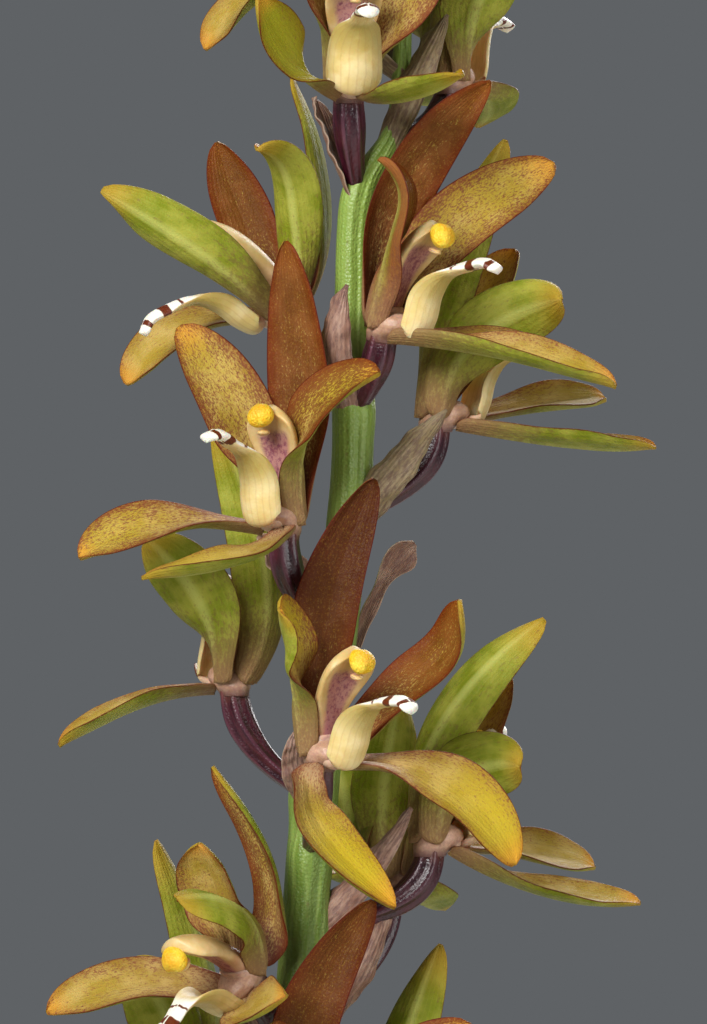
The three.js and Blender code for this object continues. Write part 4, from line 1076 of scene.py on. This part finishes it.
papery, dye = new_look(
    "bract_paper", {"Subsurface Weight": 0.1, "Subsurface Scale": 0.0006, "Specular IOR Level": 0.35}
)
place = dye.place()
_, across, face = dye.marks("run")
green_share, dryness, _ = dye.marks("tint")
sheet = dye.mark("sheet")
tone = dye.noise(dye.stretch(sheet, 0.3, 1, 1), 0.9, 4.0, 0.6)
lines = dye.effect(veins, sheet, across, 4.5, 0.2)
dye.base(dye.ramp(tone, 0.35, 0.7), "#86604f", "#ab8a78")
dye.coat(dye.blend(tone, "#7c8f4e", "#98a567"), green_share)
dye.coat("#8c7352", dryness, 0.7)
dots = dye.effect(stipple, dye.stretch(sheet, 0.35, 1, 1), 2.6, 0.45)
dye.coat("#5a3a3c", dots[0], 0.55)
dye.coat("#4d3833", lines["Line"], 0.16)
margin = dye.ramp(dye.calc("ABSOLUTE", face), 0.1, 0.4, 0.6, 0.0)
dye.coat("#b8a48c", margin)
fibres = dye.noise(dye.stretch(sheet, 0.25, 3, 1), 1.6, 4.0, 0.6)
normal = dye.bump(dye.plus(dye.times(lines["Height"], 0.6), fibres), 0.09)
dye.pour(dye.ramp(fibres, 0.3, 0.7, 0.5, 0.75), normal)

along = slopes(stem_line)
angle = round_turn(STEM_MESH["round"])
height = stem_line[:, 2:]
groove = np.remainder(angle + 1.15 + 0.004 * (height - 500) + np.pi, 2 * np.pi) - np.pi
stem_ribs = 1 - 0.14 * np.exp(-((groove / 0.16) ** 2)) + 0.03 * np.cos(3 * angle + 0.01 * height)
for bloom, stand in zip(ALL_BLOOMS, STANDS):
    away = stand["origin"] - stem_at(bloom["node"])
    toward = np.arctan2(away[1], away[0])
    near = np.exp(-((height - bloom["node"]) / 2.6) ** 2)
    stem_ribs = stem_ribs + 0.16 * near * np.clip(np.cos(angle - toward), 0, 1) + 0.03 * near
axis_skin = tube(
    stem_line, along, np.array([1.0, 0, 0]), stem_radius, stem_radius, len(angle), stem_ribs
)

stalk_skins, bract_skins = [], []
for number, (bloom, stand) in enumerate(zip(ALL_BLOOMS, STANDS)):
    start, end = stem_at(bloom["node"]), stand["origin"]
    middle = end - stand["up"] * 0.45 * np.linalg.norm(end - start)
    t = np.linspace(0, 1, STALK_MESH["rows"])
    at = bend(start, middle, end, t)
    along = slopes(at)
    along[-1] = stand["up"]
    radius = np.interp(t * 3, range(4), OVARY_RADII)
    radius = np.convolve(np.pad(radius, 5, mode="edge"), np.ones(11) / 11, "valid")
    angle = round_turn(STALK_MESH["round"])
    ribs = 1 + 0.1 * ease(t, 0.05, 0.3)[:, None] * np.cos(OVARY_RIBS * angle + 0.8 * t[:, None])
    stalk_skins.append(tube(
        at, along, stand["side"], radius, radius, len(angle), ribs, seed=7.0 * number
    ))

    mid, tip = (np.array(p, float) + stem_at(bloom["node"]) for p in bloom["bract"])
    look = np.array(bloom["hood"]) if "hood" in bloom else end - mid
    t = np.linspace(0, 1, BRACT_MESH["rows"])
    line = blade_line(stem_at(bloom["node"] - 1.5), mid, tip, look, look, t)
    half = BRACT["half"] * outline(t, 0.7, 0.4, 0.8)
    if bloom.get("spoon"):
        half = 0.9 + 1.3 * np.exp(-(((t - 0.9) / 0.07) ** 2)) - 0.6 * ease(t, 0.95, 1)

    def crinkled(t, v):
        """A channel, with a keel along its middle and two waves that grow towards the edges."""
        wave = 0.2 * np.sin(t * 17 + number) * v + 0.12 * np.sin(t * 41 + 2 * number + 3 * v) * np.abs(v)
        return wave * ease(t, 0.1, 0.4) - 0.12 * np.exp(-((v / 0.12) ** 2))

    tint = (float(number in (4, 10, 14)) * 0.3, chance.uniform(0, 0.5), chance.uniform())
    bract_skins.append(blade(
        line, half, BRACT["fold"], BRACT["thick"], crinkled, BRACT_MESH["round"], tint,
        seed=9.0 * number,
    ))

for height, bearing, length in CLASPS:
    t = np.linspace(0, 1, CLASP_MESH["rows"])
    bearing = np.radians(bearing)
    facing = np.array([np.cos(bearing), np.sin(bearing), 0])
    across = np.array([np.sin(bearing), -np.cos(bearing), 0]) + 0 * t[:, None]
    foot = np.stack([stem_at(height + share * length) for share in t])
    at = foot + facing * (CLASP["off"] + CLASP["flare"] * t)[:, None]
    line = {"t": t, "at": at, "across": across, "inner": -facing + 0 * at}
    half = CLASP["half"] * outline(t, 0.95, 0.3, 0.8)

    def sleeve(t, v):
        """Shallow flutes along the sleeve."""
        return 0.06 * np.cos(9 * np.pi * v)

    bract_skins.append(blade(
        line, half, CLASP["fold"], CLASP["thick"], sleeve, CLASP_MESH["round"],
        (0.8, 0.1, 0.5), seed=3.0,
    ))

piece("stem_axis", [axis_skin], [fresh], "stem", "stem")
piece("stalks_and_ovaries", stalk_skins, [ovary], "stem", "stem")
piece("papery_bracts", bract_skins, [papery], "stem", "stem")


# The tepals: three sepals and two petals, fleshy and thin, that grow from a small seat on
# the ovary. Outside they are yellow-green. Inside they are olive and gold under a red-brown
# stipple, with a dark line along the edge.
SEAT = {"height": 1.3, "ahead": 1.2}
SEAT_PROFILE = [[1.5, -0.9], [1.6, -0.4], [2.0, 0.2], [2.3, 1.1], [2.1, 2.0], [1.3, 2.6], [0, 2.7]]
SEAT_DEEPER = 1.28
TEPAL_THICK = 0.75
TEPAL_MESH = {"rows": 46, "round": 32}
SEAT_ROUND = 32
# root is where a tepal starts, ahead, up and aside, and hug where its inner face turns there:
# forwards, upwards and towards the bloom's middle. The order is that of their skins in the
# mesh, each with its place in a bloom's table and its side, 1 right and -1 left.
TEPAL_FORMS = {
    "dorsal": {
        "width": 7.6, "foot": 0.5, "peak": 0.48, "blunt": 0.54, "fold": 36,
        "root": (-1.9, 0, 0), "hug": (1, 0, 0),
    },
    "petal": {
        "width": 8.6, "foot": 0.46, "peak": 0.6, "blunt": 0.52, "fold": 36,
        "root": (-0.2, 0, 2), "hug": (0, 0, 1),
    },
    "sepal": {
        "width": 7.8, "foot": 0.42, "peak": 0.58, "blunt": 0.56, "fold": 38,
        "root": (1.9, -0.7, 1.5), "hug": (0, 1, 0.3),
    },
}
TEPAL_ORDER = ((0, "dorsal", 1), (1, "petal", 1), (3, "sepal", 1), (2, "petal", -1), (4, "sepal", -1))

tepal_look, dye = new_look(
    "tepal_flesh",
    {"Subsurface Weight": 0.08, "Subsurface Scale": 0.0008, "Specular IOR Level": 0.1},
)
place = dye.place()
along, across, face = dye.marks("run")
stain, gold, _ = dye.marks("tint")
sheet = dye.mark("sheet")
streaked = dye.stretch(sheet, 0.5, 1, 1)
edgeward = dye.times(across, across)
inside = dye.ramp(face, -0.06, 0.06)
cloud = dye.ramp(dye.noise(sheet, 0.3, 3.0), 0.35, 0.65)
flecks = dye.noise(sheet, 4.5, 3.0, 0.7)
lines = dye.effect(veins, sheet, across, 6.0, 0.2)

ripe = dye.times(gold, dye.ramp(along, 0.2, 0.8))
ground = dye.blend(cloud, "#9b7f38", "#b99c60")
ground = dye.blend(ripe, ground, "#b8a024")
ground = dye.blend(dye.ramp(stain, 0.1, 0.32, 0.75, 0.0), ground, "#8a8f1c")
ground = dye.blend(dye.ramp(along, 0.84, 1.0, 0.0, 0.75), ground, "#cf8d2c")
ground = dye.blend(dye.ramp(along, 0.02, 0.32, 0.7, 0.0), ground, "#a07c66")
bare = dye.calc("SUBTRACT", 1.0, stain)
cleared = dye.plus(
    dye.times(bare, dye.ramp(along, 0.3, 0.9, 0.0, 0.9)),
    dye.ramp(along, 0.2, 0.75, 0.5, 0.0),
)
share = dye.plus(
    dye.times(stain, dye.calc("SUBTRACT", 1.0, cleared)),
    dye.plus(dye.times(edgeward, 0.26), dye.ramp(along, 0.1, 0.55, 0.2, 0.0)),
)
dots = dye.effect(stipple, streaked, 5.5, share)[0]
dark = dye.blend(dye.ramp(along, 0.05, 0.5), "#5c2030", "#561604")
dark = dye.blend(dye.times(cloud, 0.5), dark, "#7c3404")
dark = dye.blend(dye.ramp(stain, 0.35, 0.95), "#7c4638", dark)
within = dye.blend(dye.times(dots, 0.85), ground, dark)
within = dye.blend(dye.times(lines["Line"], 0.08), within, dark)
# Towards the edges the inner face darkens to red-brown: partly the tepal's own red-brown margins, partly
# painted shade that gives the tepal its rounded form.
brown = dye.times(dye.ramp(stain, 0.3, 0.9, 0.35, 0.7), dye.ramp(edgeward, 0.1, 1.0))
within = dye.blend(brown, within, "#6a2406")
deep = dye.times(dye.ramp(stain, 0.96, 1.4, 0.0, 0.9), dye.ramp(along, 0.3, 0.75, 0.35, 1.0))
within = dye.blend(deep, within, "#3a1304")

green = dye.blend(cloud, "#76801c", "#98993a")
green = dye.blend(dye.times(lines["Line"], 0.08), green, "#b5b14a")
# A lighter line along the keel outside: painted highlight on the ridge.
keel = dye.ramp(dye.calc("ABSOLUTE", across), 0.04, 0.22, 0.45, 0.0)
green = dye.blend(keel, green, "#c3c46e")
green = dye.blend(dye.ramp(along, 0.8, 1.0, 0.0, 0.7), green, "#b0862a")
flushed = dye.plus(dye.ramp(along, 0.1, 0.75, 0.6, 0.1), dye.times(edgeward, 0.2))
flush = dye.effect(stipple, streaked, 3.2, flushed)[0]
sides = dye.ramp(dye.calc("ABSOLUTE", across), 0.1, 0.6, 0.35, 0.9)
green = dye.blend(dye.times(dye.ramp(stain, 0.8, 1.2), sides), green, "#8a4a2c")
without = dye.blend(dye.ramp(along, 0.0, 0.42, 0.85, 0.0), green, "#a07c58")
without = dye.blend(dye.times(flush, 0.42), without, "#6b3a36")

dye.base(inside, without, within)
dye.coat("#d2a534", dye.ramp(flecks, 0.5, 0.75, 0.0, 0.14))
ragged = dye.plus(dye.calc("ABSOLUTE", face), dye.times(dye.noise(sheet, 1.3), 0.25))
rim = dye.times(dye.ramp(ragged, 0.24, 0.42, 0.9, 0.0), dye.ramp(along, 0.0, 0.3))
rim = dye.times(rim, dye.ramp(along, 0.9, 1.0, 1.0, 0.3))
dye.coat("#521508", rim)
domes = dye.effect(cells, place, 5.0)[0]
ridge = dye.plus(dye.times(lines["Height"], 0.5), dye.noise(streaked, 0.8, 2.0))
normal = dye.bump(domes, 0.04, dye.bump(ridge, 0.045))
roughness = dye.ramp(domes, 0.7, 1.4, 0.6, 0.4)
dye.pour(roughness, normal)

seat_look, dye = new_look(
    "seat_flesh", {"Subsurface Weight": 0.1, "Subsurface Scale": 0.0008, "Specular IOR Level": 0.5}
)
place = dye.place()
along = dye.marks("run")[0]
cloud = dye.ramp(dye.noise(place, 0.6, 3.0), 0.35, 0.65)
dye.base(cloud, "#b58c6c", "#cda488")
dots = dye.effect(stipple, place, 3.0, 0.45)[0]
dye.coat("#8a4a58", dots, 0.3)
dye.coat("#451624", dye.ramp(along, 0.0, 0.3, 0.8, 0.0))
domes = dye.effect(cells, place, 5.0)[0]
dye.pour(dye.ramp(domes, 0.7, 1.4, 0.5, 0.3), dye.bump(domes, 0.015))


def tepal_skin(part, form, base, hug, origin, stained, golden, number):
    """One tepal: a blade with a rounded foot, a shallow groove along its middle inside, a
    keel outside, soft folds, and edges that waver and curl in a little at the tip."""
    t = np.linspace(0, 1, TEPAL_MESH["rows"])
    mid, tip = np.array(part[:2], float) + origin
    form = form | {"recurve": 0} | dict(*part[3:])
    line = blade_line(base, mid, tip, part[2], hug, t, form["recurve"])
    foot = np.sqrt(1 - (1 - np.clip(t / 0.07, 0.02, 1)) ** 2)
    half = form["width"] / 2 * outline(t, form["foot"], form["peak"], form["blunt"]) * foot
    thick = TEPAL_THICK * mix(1.3, 1, ease(t, 0, 0.35)) * (1 - 0.4 * ease(t, 0.85, 1))
    fold = np.radians(form["fold"]) * (1 + 0.5 * ease(t, 0.8, 1))

    def folds(t, v):
        """A groove along the middle, soft folds and a wavering edge, in millimetres."""
        groove = -0.28 * np.exp(-((v / 0.12) ** 2)) * (1 - ease(t, 0.7, 1))
        soft = 0.05 * np.cos(3 * np.pi * v + 0.7 * number) * ease(t, 0.05, 0.4)
        waver = 0.3 * np.sin(t * 9 + 1.7 * number + v) * np.abs(v) ** 2.5 * ease(t, 0.15, 0.5)
        return groove + soft + waver

    return blade(
        line, half, fold, thick, folds, TEPAL_MESH["round"], (stained, golden, 0), seed=11.3 * number
    )


for number, (bloom, stand) in enumerate(zip(ALL_BLOOMS, STANDS)):
    origin, side, out, up = (stand[k] for k in ("origin", "side", "out", "up"))
    shades, golds = bloom["shades"], bloom.get("golds", (0.3,) * 5)
    seat_line = rounded(SEAT_PROFILE, 0.12, 0.25)
    seat_at = spot(stand, SEAT["ahead"] * ease(seat_line[:, 1], -0.9, 1.3), seat_line[:, 1])
    seat = tube(
        seat_at, up + 0 * seat_at, side, np.maximum(seat_line[:, 0], 0.02),
        np.maximum(seat_line[:, 0] * SEAT_DEEPER, 0.02), SEAT_ROUND, look=1,
    )
    skins = [seat]
    for i, kind, hand in TEPAL_ORDER:
        form = TEPAL_FORMS[kind]
        ahead, rise, aside = form["root"]
        base = spot(stand, ahead, SEAT["height"] / 2 + rise, aside * hand)
        forwards, upwards, inwards = form["hug"]
        hug = forwards * out + upwards * up - inwards * hand * side
        part = bloom["tepals"][i]
        skins.append(tepal_skin(part, form, base, hug, origin, shades[i], golds[i], 5 * number + i))
    name = f"bloom_{number + 1:02d}"
    piece(name + "_perianth", skins, [tepal_look, seat_look], "tepal", name + "_tepals")


# The column and the lip: the column is one hooded piece with two cream wings and a purple
# spotted front. From its foot hangs the lip, a cream scoop that rises and bends forwards
# into a narrow white tip with brown bars.
COLUMN = {"forward": 5.0, "height": 10.8}
COLUMN_MESH = {"rows": 40, "round": 32}
BEAK_MESH = {"rows": 16, "round": 24}
LIP_MESH = {"rows": 56, "round": 36}
HOOD = [[0.1, 0.9], [0.2, 8.6], [5.0, 12.7]]
WINGS = [1.8, 1.8, 2.1, 2.7, 3.3, 3.5, 2.7]
CURLS = [30, 34, 40, 44, 44, 42, 40]
FOOT = [[0.3, 2.6], [1.2, 0.5], [3.7, 0.5]]
ROSTELLUM = [[4.6, 10.2], [6.2, 9.9]]
HINGE = [4.0, 1.0]
LIP = {
    "route": [
        [3.3, 0.7], [4.8, 0.2], [6.1, 2.1], [6.9, 4.8], [8.4, 7.0], [11.0, 8.0], [13.8, 8.4],
        [15.4, 7.7],
    ],
    "half": [1.3, 2.6, 3.1, 3.3, 3.3, 2.6, 1.35, 1.15, 1.2, 1.25, 1.1],
    "fold": [20, 50, 66, 74, 80, 70, 24, -6, -16, -18, -14],
    "thick": [0.9, 1.0, 0.95, 0.9, 0.9, 0.95, 1.0, 1.05, 1.1, 1.1, 1.0],
}
BARS = ((0.655, 0.004), (0.765, 0.022), (0.905, 0.018))

lip_look, dye = new_look(
    "lip_flesh", {"Subsurface Weight": 0.22, "Subsurface Scale": 0.001, "Specular IOR Level": 0.45}
)
place = dye.place()
along, across, face = dye.marks("run")
sheet = dye.mark("sheet")
edge = dye.calc("ABSOLUTE", across)
cloud = dye.noise(sheet, 0.35, 3.0)
lines = dye.effect(veins, sheet, across, 5.0, 0.3)
dye.base(dye.ramp(cloud, 0.35, 0.65), "#dcc27c", "#ecd8a0")
olive = dye.times(dye.ramp(along, 0.3, 0.5), dye.ramp(along, 0.58, 0.66, 1.0, 0.0))
olive = dye.times(olive, dye.ramp(face, -0.1, 0.1, 0.75, 0.15))
dye.coat("#a8913a", olive)
dye.coat("#a8744a", lines["Line"], 0.16)
blushing = dye.ramp(dye.plus(along, dye.times(cloud, 0.1)), 0.06, 0.26, 0.6, 0.0)
dye.coat("#e0aaa6", blushing)
upper = dye.ramp(face, -0.4, 0.1)
tip_white = dye.calc(
    "MAXIMUM", dye.times(upper, dye.ramp(along, 0.54, 0.62)), dye.ramp(along, 0.72, 0.82)
)
dye.coat("#f8f4e4", tip_white)
jitter = dye.plus(along, dye.ramp(dye.noise(sheet, 0.9, 2.0), 0.3, 0.7, -0.008, 0.008))
bars = 0.0
for bar, half_wide in BARS:
    off = dye.calc("ABSOLUTE", dye.calc("SUBTRACT", jitter, bar))
    bars = dye.calc("MAXIMUM", bars, dye.ramp(off, half_wide, half_wide + 0.008, 1.0, 0.0))
bars = dye.times(bars, dye.ramp(edge, 0.0, 0.12))
bars = dye.times(bars, dye.calc("MAXIMUM", upper, dye.ramp(along, 0.7, 0.74)))
dye.coat("#642606", bars)
domes = dye.effect(cells, place, 4.2)[0]
normal = dye.bump(domes, 0.025, dye.bump(lines["Height"], 0.01))
dye.pour(dye.ramp(domes, 0.7, 1.4, 0.5, 0.36), normal)

column_look, dye = new_look(
    "column_flesh",
    {"Subsurface Weight": 0.2, "Subsurface Scale": 0.001, "Specular IOR Level": 0.45},
)
place = dye.place()
along, across, face = dye.marks("run")
sheet = dye.mark("sheet")
edge = dye.calc("ABSOLUTE", across)
cloud = dye.noise(sheet, 0.4, 3.0)
foot_share, _, _ = dye.marks("tint")
dye.base(dye.ramp(cloud, 0.35, 0.65), "#cfae6c", "#dcc088")
low = dye.ramp(dye.plus(along, dye.times(cloud, 0.2)), 0.15, 0.62, 0.85, 0.0)
dye.coat("#c08a78", low)
front = dye.times(dye.ramp(face, 0.1, 0.3), dye.ramp(edge, 0.5, 0.85, 1.0, 0.0))
front = dye.times(front, dye.ramp(along, 0.72, 0.84, 1.0, 0.0))
dye.coat("#a8687a", front, 0.75)
dots = dye.effect(stipple, sheet, 1.6, 0.42)[0]
dye.coat("#7a3050", dye.times(front, dots), 0.8)
ochre = dye.effect(stipple, sheet, 0.9, 0.24)[0]
dye.coat("#b9763c", dye.times(ochre, low), 0.6)
dye.coat("#d8b49c", foot_share, 0.85)
dye.coat("#9c5a76", dye.times(foot_share, dots), 0.35)
domes = dye.effect(cells, place, 4.2)[0]
dye.pour(dye.ramp(domes, 0.7, 1.4, 0.5, 0.36), dye.bump(domes, 0.015))


def along_steps(values, t):
    """Values at even steps from 0 to 1, joined by straight lines. What is read at t is the
    mean over half a step on each side, which rounds the corners."""
    near = t[:, None] + np.linspace(-0.5, 0.5, 9) / (len(values) - 1)
    return np.interp(near, np.linspace(0, 1, len(values)), values).mean(1)


for number, (bloom, stand) in enumerate(zip(ALL_BLOOMS, STANDS)):
    origin, side, out, up = (stand[k] for k in ("origin", "side", "out", "up"))
    t = np.linspace(0, 1, COLUMN_MESH["rows"])
    at = bend(*(spot(stand, *point) for point in HOOD), t)
    line = {"t": t, "at": at, "across": -side + 0 * at, "inner": unit(np.cross(-side, slopes(at)))}
    wing = along_steps(WINGS, t) * np.sqrt(1 - np.clip((t - 0.88) / 0.125, 0, 0.97) ** 2)
    depth = along_steps([2.8, 2.6, 2.3, 1.9, 1.6, 1.5, 1.2], t)

    def hollow(t, v):
        """The front sinks in along the middle towards the top."""
        return -0.25 * ease(t, 0.3, 0.8) * (1 - v * v)

    turn_in = np.radians(along_steps(CURLS, t))
    column = blade(line, wing, turn_in, depth, hollow, COLUMN_MESH["round"], look=1, seed=4.7 * number)
    t = np.linspace(0, 1, BEAK_MESH["rows"])
    arm_at = bend(*(spot(stand, *point) for point in FOOT), t)
    round_end = np.sqrt(1 - np.clip((t - 0.8) / 0.2, 0, 0.97) ** 2)
    arm = tube(
        arm_at, slopes(arm_at), side, mix(2.1, 1.4, t) * round_end, mix(1.6, 1.0, t) * round_end, 20,
        look=1, tint=(1, 0, 0), seed=4.7 * number + 2,
    )
    beak_ends = (spot(stand, *point) for point in ROSTELLUM)
    beak_at = mix(*beak_ends, t[:, None])
    swell = np.sqrt(np.clip(1 - (2 * t - 1) ** 2, 0.01, 1))
    rostellum = tube(
        beak_at, slopes(beak_at), side, 0.65 * swell, 0.35 * swell, BEAK_MESH["round"], look=1
    )

    hinge = spot(stand, *HINGE)
    t = np.linspace(0, 1, LIP_MESH["rows"])
    route = np.array(LIP["route"], float)
    route = spot(stand, route[:, 0], route[:, 1]) - hinge
    route = spun(route, side, -np.radians(bloom.get("droop", 0))) + hinge
    at = smooth_path(route, t)
    line = {"t": t, "at": at, "across": side + 0 * at, "inner": unit(np.cross(side, slopes(at)))}
    half = along_steps(LIP["half"], t) * np.sqrt(1 - np.clip((t - 0.93) / 0.075, 0, 0.97) ** 2)
    half = half * mix(bloom.get("broad", 1), 1, ease(t, 0.5, 0.65))
    half = half * np.sqrt(1 - (1 - np.clip(t / 0.08, 0.05, 1)) ** 2)
    thick = along_steps(LIP["thick"], t)

    def scoop(t, v):
        """Two low ridges inside, and a tip whose rolled edges waver a little."""
        ridges = 0.16 * np.exp(-(((np.abs(v) - 0.22) / 0.1) ** 2)) * ease(t, 0.15, 0.4)
        waver = 0.14 * np.sin(t * 30 + number) * np.abs(v) ** 2 * ease(t, 0.6, 0.72)
        return ridges * (1 - ease(t, 0.8, 0.95)) + waver

    lip = blade(
        line, half, np.radians(along_steps(LIP["fold"], t)), thick, scoop, LIP_MESH["round"],
        seed=3.9 * number,
    )
    name = f"bloom_{number + 1:02d}"
    skins = [lip, column, arm, rostellum]
    piece(name + "_column_and_lip", skins, [lip_look, column_look], "lip", name + "_lip")


# The anther caps: a small yellow helmet on the end of each column, with a groove between
# its two halves and a grainy skin.
ANTHER = {"wide": 1.5, "deep": 1.25, "tall": 1.5, "gap": 0.3}
ANTHER_MESH = {"rows": 22, "round": 28}

cap_look, dye = new_look(
    "anther_cap", {"Subsurface Weight": 0.25, "Subsurface Scale": 0.0008, "Specular IOR Level": 0.4}
)
place = dye.place()
along = dye.marks("run")[0]
cloud = dye.noise(place, 0.9, 3.0)
dye.base(dye.ramp(cloud, 0.35, 0.65), "#efbf1e", "#f8d848")
dye.coat("#d69a1a", dye.ramp(along, 0.55, 0.9, 0.0, 0.6))
grains = dye.effect(cells, place, 3.6)[0]
# Painted shade: the hollows between the grains are darker orange.
dye.coat("#cf9412", dye.ramp(grains, 0.6, 1.1, 0.2, 0.0))
dye.pour(dye.ramp(grains, 0.7, 1.4, 0.6, 0.42), dye.bump(grains, 0.09))

for number, stand in enumerate(STANDS):
    side, out, up = (stand[k] for k in ("side", "out", "up"))
    ahead = unit(0.75 * out + 0.66 * up)
    middle = spot(stand, COLUMN["forward"], COLUMN["height"]) + ahead * (ANTHER["deep"] + ANTHER["gap"])
    t = np.linspace(0, 1, ANTHER_MESH["rows"])
    polar = np.pi * np.clip(t, 0.01, 0.99)
    at = middle - ahead * (ANTHER["deep"] * np.cos(polar))[:, None]
    angle = round_turn(ANTHER_MESH["round"])
    lobes = 1 - 0.12 * np.exp(-((np.abs(np.sin(angle)) - 1) / 0.06) ** 2) * ease(t, 0.2, 0.6)[:, None]
    lobes = lobes - 0.05 * np.cos(3 * angle + 0.5)
    cap = tube(
        at, ahead + 0 * at, side, ANTHER["wide"] * np.sin(polar), ANTHER["tall"] * np.sin(polar),
        len(angle), lobes, seed=1.0 * number,
    )
    name = f"bloom_{number + 1:02d}"
    piece(name + "_anther_cap", [cap], [cap_look], "anther", name + "_anther")


# The buds: six closed blooms on short stalks round the last of the axis, each of three
# sepals that meet along seams, green with a purple flush.
KNOT_MESH = {"rows": 40, "round": 24}
BUD_MESH = {"rows": 44, "round": 36}
KNOT = {"foot": [13, 0.4, 606.3], "height": 12, "radius": 0.8}
BUDS = [
    [1, 200, 48, 15], [2.6, 330, 44, 14], [4.6, 85, 40, 12], [7, 220, 34, 11],
    [9, 340, 28, 9.5], [10.6, 120, 14, 8.5],
]

bud_look, dye = new_look(
    "bud_skin", {"Subsurface Weight": 0.12, "Subsurface Scale": 0.0008, "Specular IOR Level": 0.5}
)
place = dye.place()
along, around, _ = dye.marks("run")
sheet = dye.mark("sheet")
cloud = dye.noise(sheet, 0.4, 3.0)
seams = dye.effect(veins, sheet, around, 1.5, 0.02)
fine_lines = dye.effect(veins, sheet, around, 7.0, 0.1)
dye.base(dye.ramp(cloud, 0.35, 0.65), "#7f8f33", "#a2a646")
dye.coat("#c0bd6c", fine_lines["Line"], 0.2)
share = dye.ramp(along, 0.2, 0.6, 0.62, 0.25)
dots = dye.effect(stipple, dye.stretch(sheet, 0.5, 1, 1), 1.3, share)
dye.coat("#6f3d3c", dots[0], 0.6)
dye.coat("#a9702d", dye.ramp(along, 0.85, 1.0, 0.0, 0.6))
dye.coat("#5b2417", seams["Line"], 0.5)
dye.coat("#4a1c28", dye.ramp(along, 0.0, 0.14, 0.9, 0.0))
domes = dye.effect(cells, place, 4.0)[0]
normal = dye.bump(domes, 0.035, dye.bump(fine_lines["Height"], 0.05))
dye.pour(dye.ramp(domes, 0.7, 1.4, 0.5, 0.36), normal)

upright = unit(np.array([-0.08, 0, 1]))
knot_foot = np.array(KNOT["foot"])
t = np.linspace(0, 1, KNOT_MESH["rows"])
knot_at = knot_foot + upright * (KNOT["height"] * t)[:, None]
knot_radius = mix(KNOT["radius"], 0.5, t)
skins = [tube(
    knot_at, upright + 0 * knot_at, np.array([1.0, 0, 0]), knot_radius, knot_radius,
    KNOT_MESH["round"],
)]
for number, (height, bearing, lean, length) in enumerate(BUDS):
    tilt, bearing = np.radians(lean), np.radians(bearing)
    outward = np.array([np.cos(bearing), np.sin(bearing), 0]) * np.sin(tilt)
    direction = unit(outward + upright * np.cos(tilt))
    t = np.linspace(0, 1, BUD_MESH["rows"])
    bow = 0.06 * length * np.sin(np.pi * t)[:, None] * np.array([0, 0, -1.0])
    at = knot_foot + upright * height + direction * (length * t)[:, None] + bow * 0.5
    bulge = np.interp(t, np.linspace(0, 1, 7), [0.5, 0.62, 1.25, 1.95, 1.85, 1.15, 0.3])
    bulge = np.convolve(np.pad(bulge, 4, mode="edge"), np.ones(9) / 9, "valid")
    angle = round_turn(BUD_MESH["round"])
    furrow = np.exp(-((np.cos(1.5 * angle + np.pi / 2) / 0.22) ** 2))
    seam = 1 - 0.1 * furrow * ease(t, 0.2, 0.4)[:, None]
    skins.append(tube(
        at, slopes(at), np.array([0.0, 0, 1]), bulge, bulge, len(angle), seam, seed=5.1 * number
    ))
piece("bud_knot", skins, [bud_look], "bud", "raceme_tip")


# The studio: a plain pale floor under a soft even light, with a large key light from the
# upper left, a fill from the right and a third behind. The camera looks level, as far off as
# a long lens needs to show the raceme alone.
PIXELS_PER_MM = 9.0
IMAGE = (707, 1024)
AXIS_PIXEL_X = 280
FRAME_MIDDLE_Z = 529.5
CAMERA_DISTANCE = 600
SENSOR = 36
FLOOR = {"radius": 2.2, "below": 0.0001, "round": 128}

sight = bpy.data.cameras.new("camera")
sight.sensor_width = SENSOR
sight.lens = SENSOR * CAMERA_DISTANCE / (IMAGE[1] / PIXELS_PER_MM)
sight.clip_start = 0.01
camera = bpy.data.objects.new("camera", sight)
middle_x = (IMAGE[0] / 2 - AXIS_PIXEL_X) / PIXELS_PER_MM
camera.location = (middle_x * MM, -CAMERA_DISTANCE * MM, FRAME_MIDDLE_Z * MM)
camera.rotation_euler = (np.pi / 2, 0, 0)
bpy.context.scene.collection.objects.link(camera)
bpy.context.scene.camera = camera

paper, dye = new_look("floor_paper", {"Specular IOR Level": 0.2})
grain = dye.noise(dye.place(), 0.02, 4.0)
dye.base(grain, "#cfccc6", "#d8d5cf")
dye.pour(dye.ramp(grain, 0.3, 0.7, 0.75, 0.85), dye.bump(grain, 0.05))
floor_mesh = bpy.data.meshes.new("floor")
bearing = round_turn(FLOOR["round"])
across = FLOOR["radius"] * np.cos(bearing)
back = FLOOR["radius"] * np.sin(bearing)
ring = np.stack([across, back, 0 * bearing - FLOOR["below"]], -1)
floor_mesh.from_pydata(ring.tolist(), [], [list(range(len(ring)))])
floor_mesh.materials.append(paper)
floor = bpy.data.objects.new("floor", floor_mesh)
bpy.context.scene.collection.objects.link(floor)

sky = bpy.data.worlds.new("studio")
sky.use_nodes = True
sky.node_tree.nodes["Background"].inputs["Color"].default_value = paint("#5f6265")
sky.node_tree.nodes["Background"].inputs["Strength"].default_value = 1.0
bpy.context.scene.world = sky
bpy.context.scene.view_settings.view_transform = "Standard"

LIGHTS = {
    "key": ((-0.5, -0.85, 1.05), (0.008, 0, 0.5), 0.55, 17.0),
    "fill": ((0.85, -0.7, 0.6), (0.008, 0, 0.45), 0.8, 5.5),
    "back": ((0.35, 0.9, 1.0), (0, 0, 0.45), 0.7, 12.0),
}
for name, (at, toward, size, power) in LIGHTS.items():
    lamp = bpy.data.lights.new(name, "AREA")
    lamp.size = size
    lamp.energy = power
    light = bpy.data.objects.new(name, lamp)
    light.location = at
    away = unit(np.array(at) - np.array(toward))
    light.rotation_euler = (np.arccos(away[2]), 0, np.arctan2(away[1], away[0]) + np.pi / 2)
    bpy.context.scene.collection.objects.link(light)
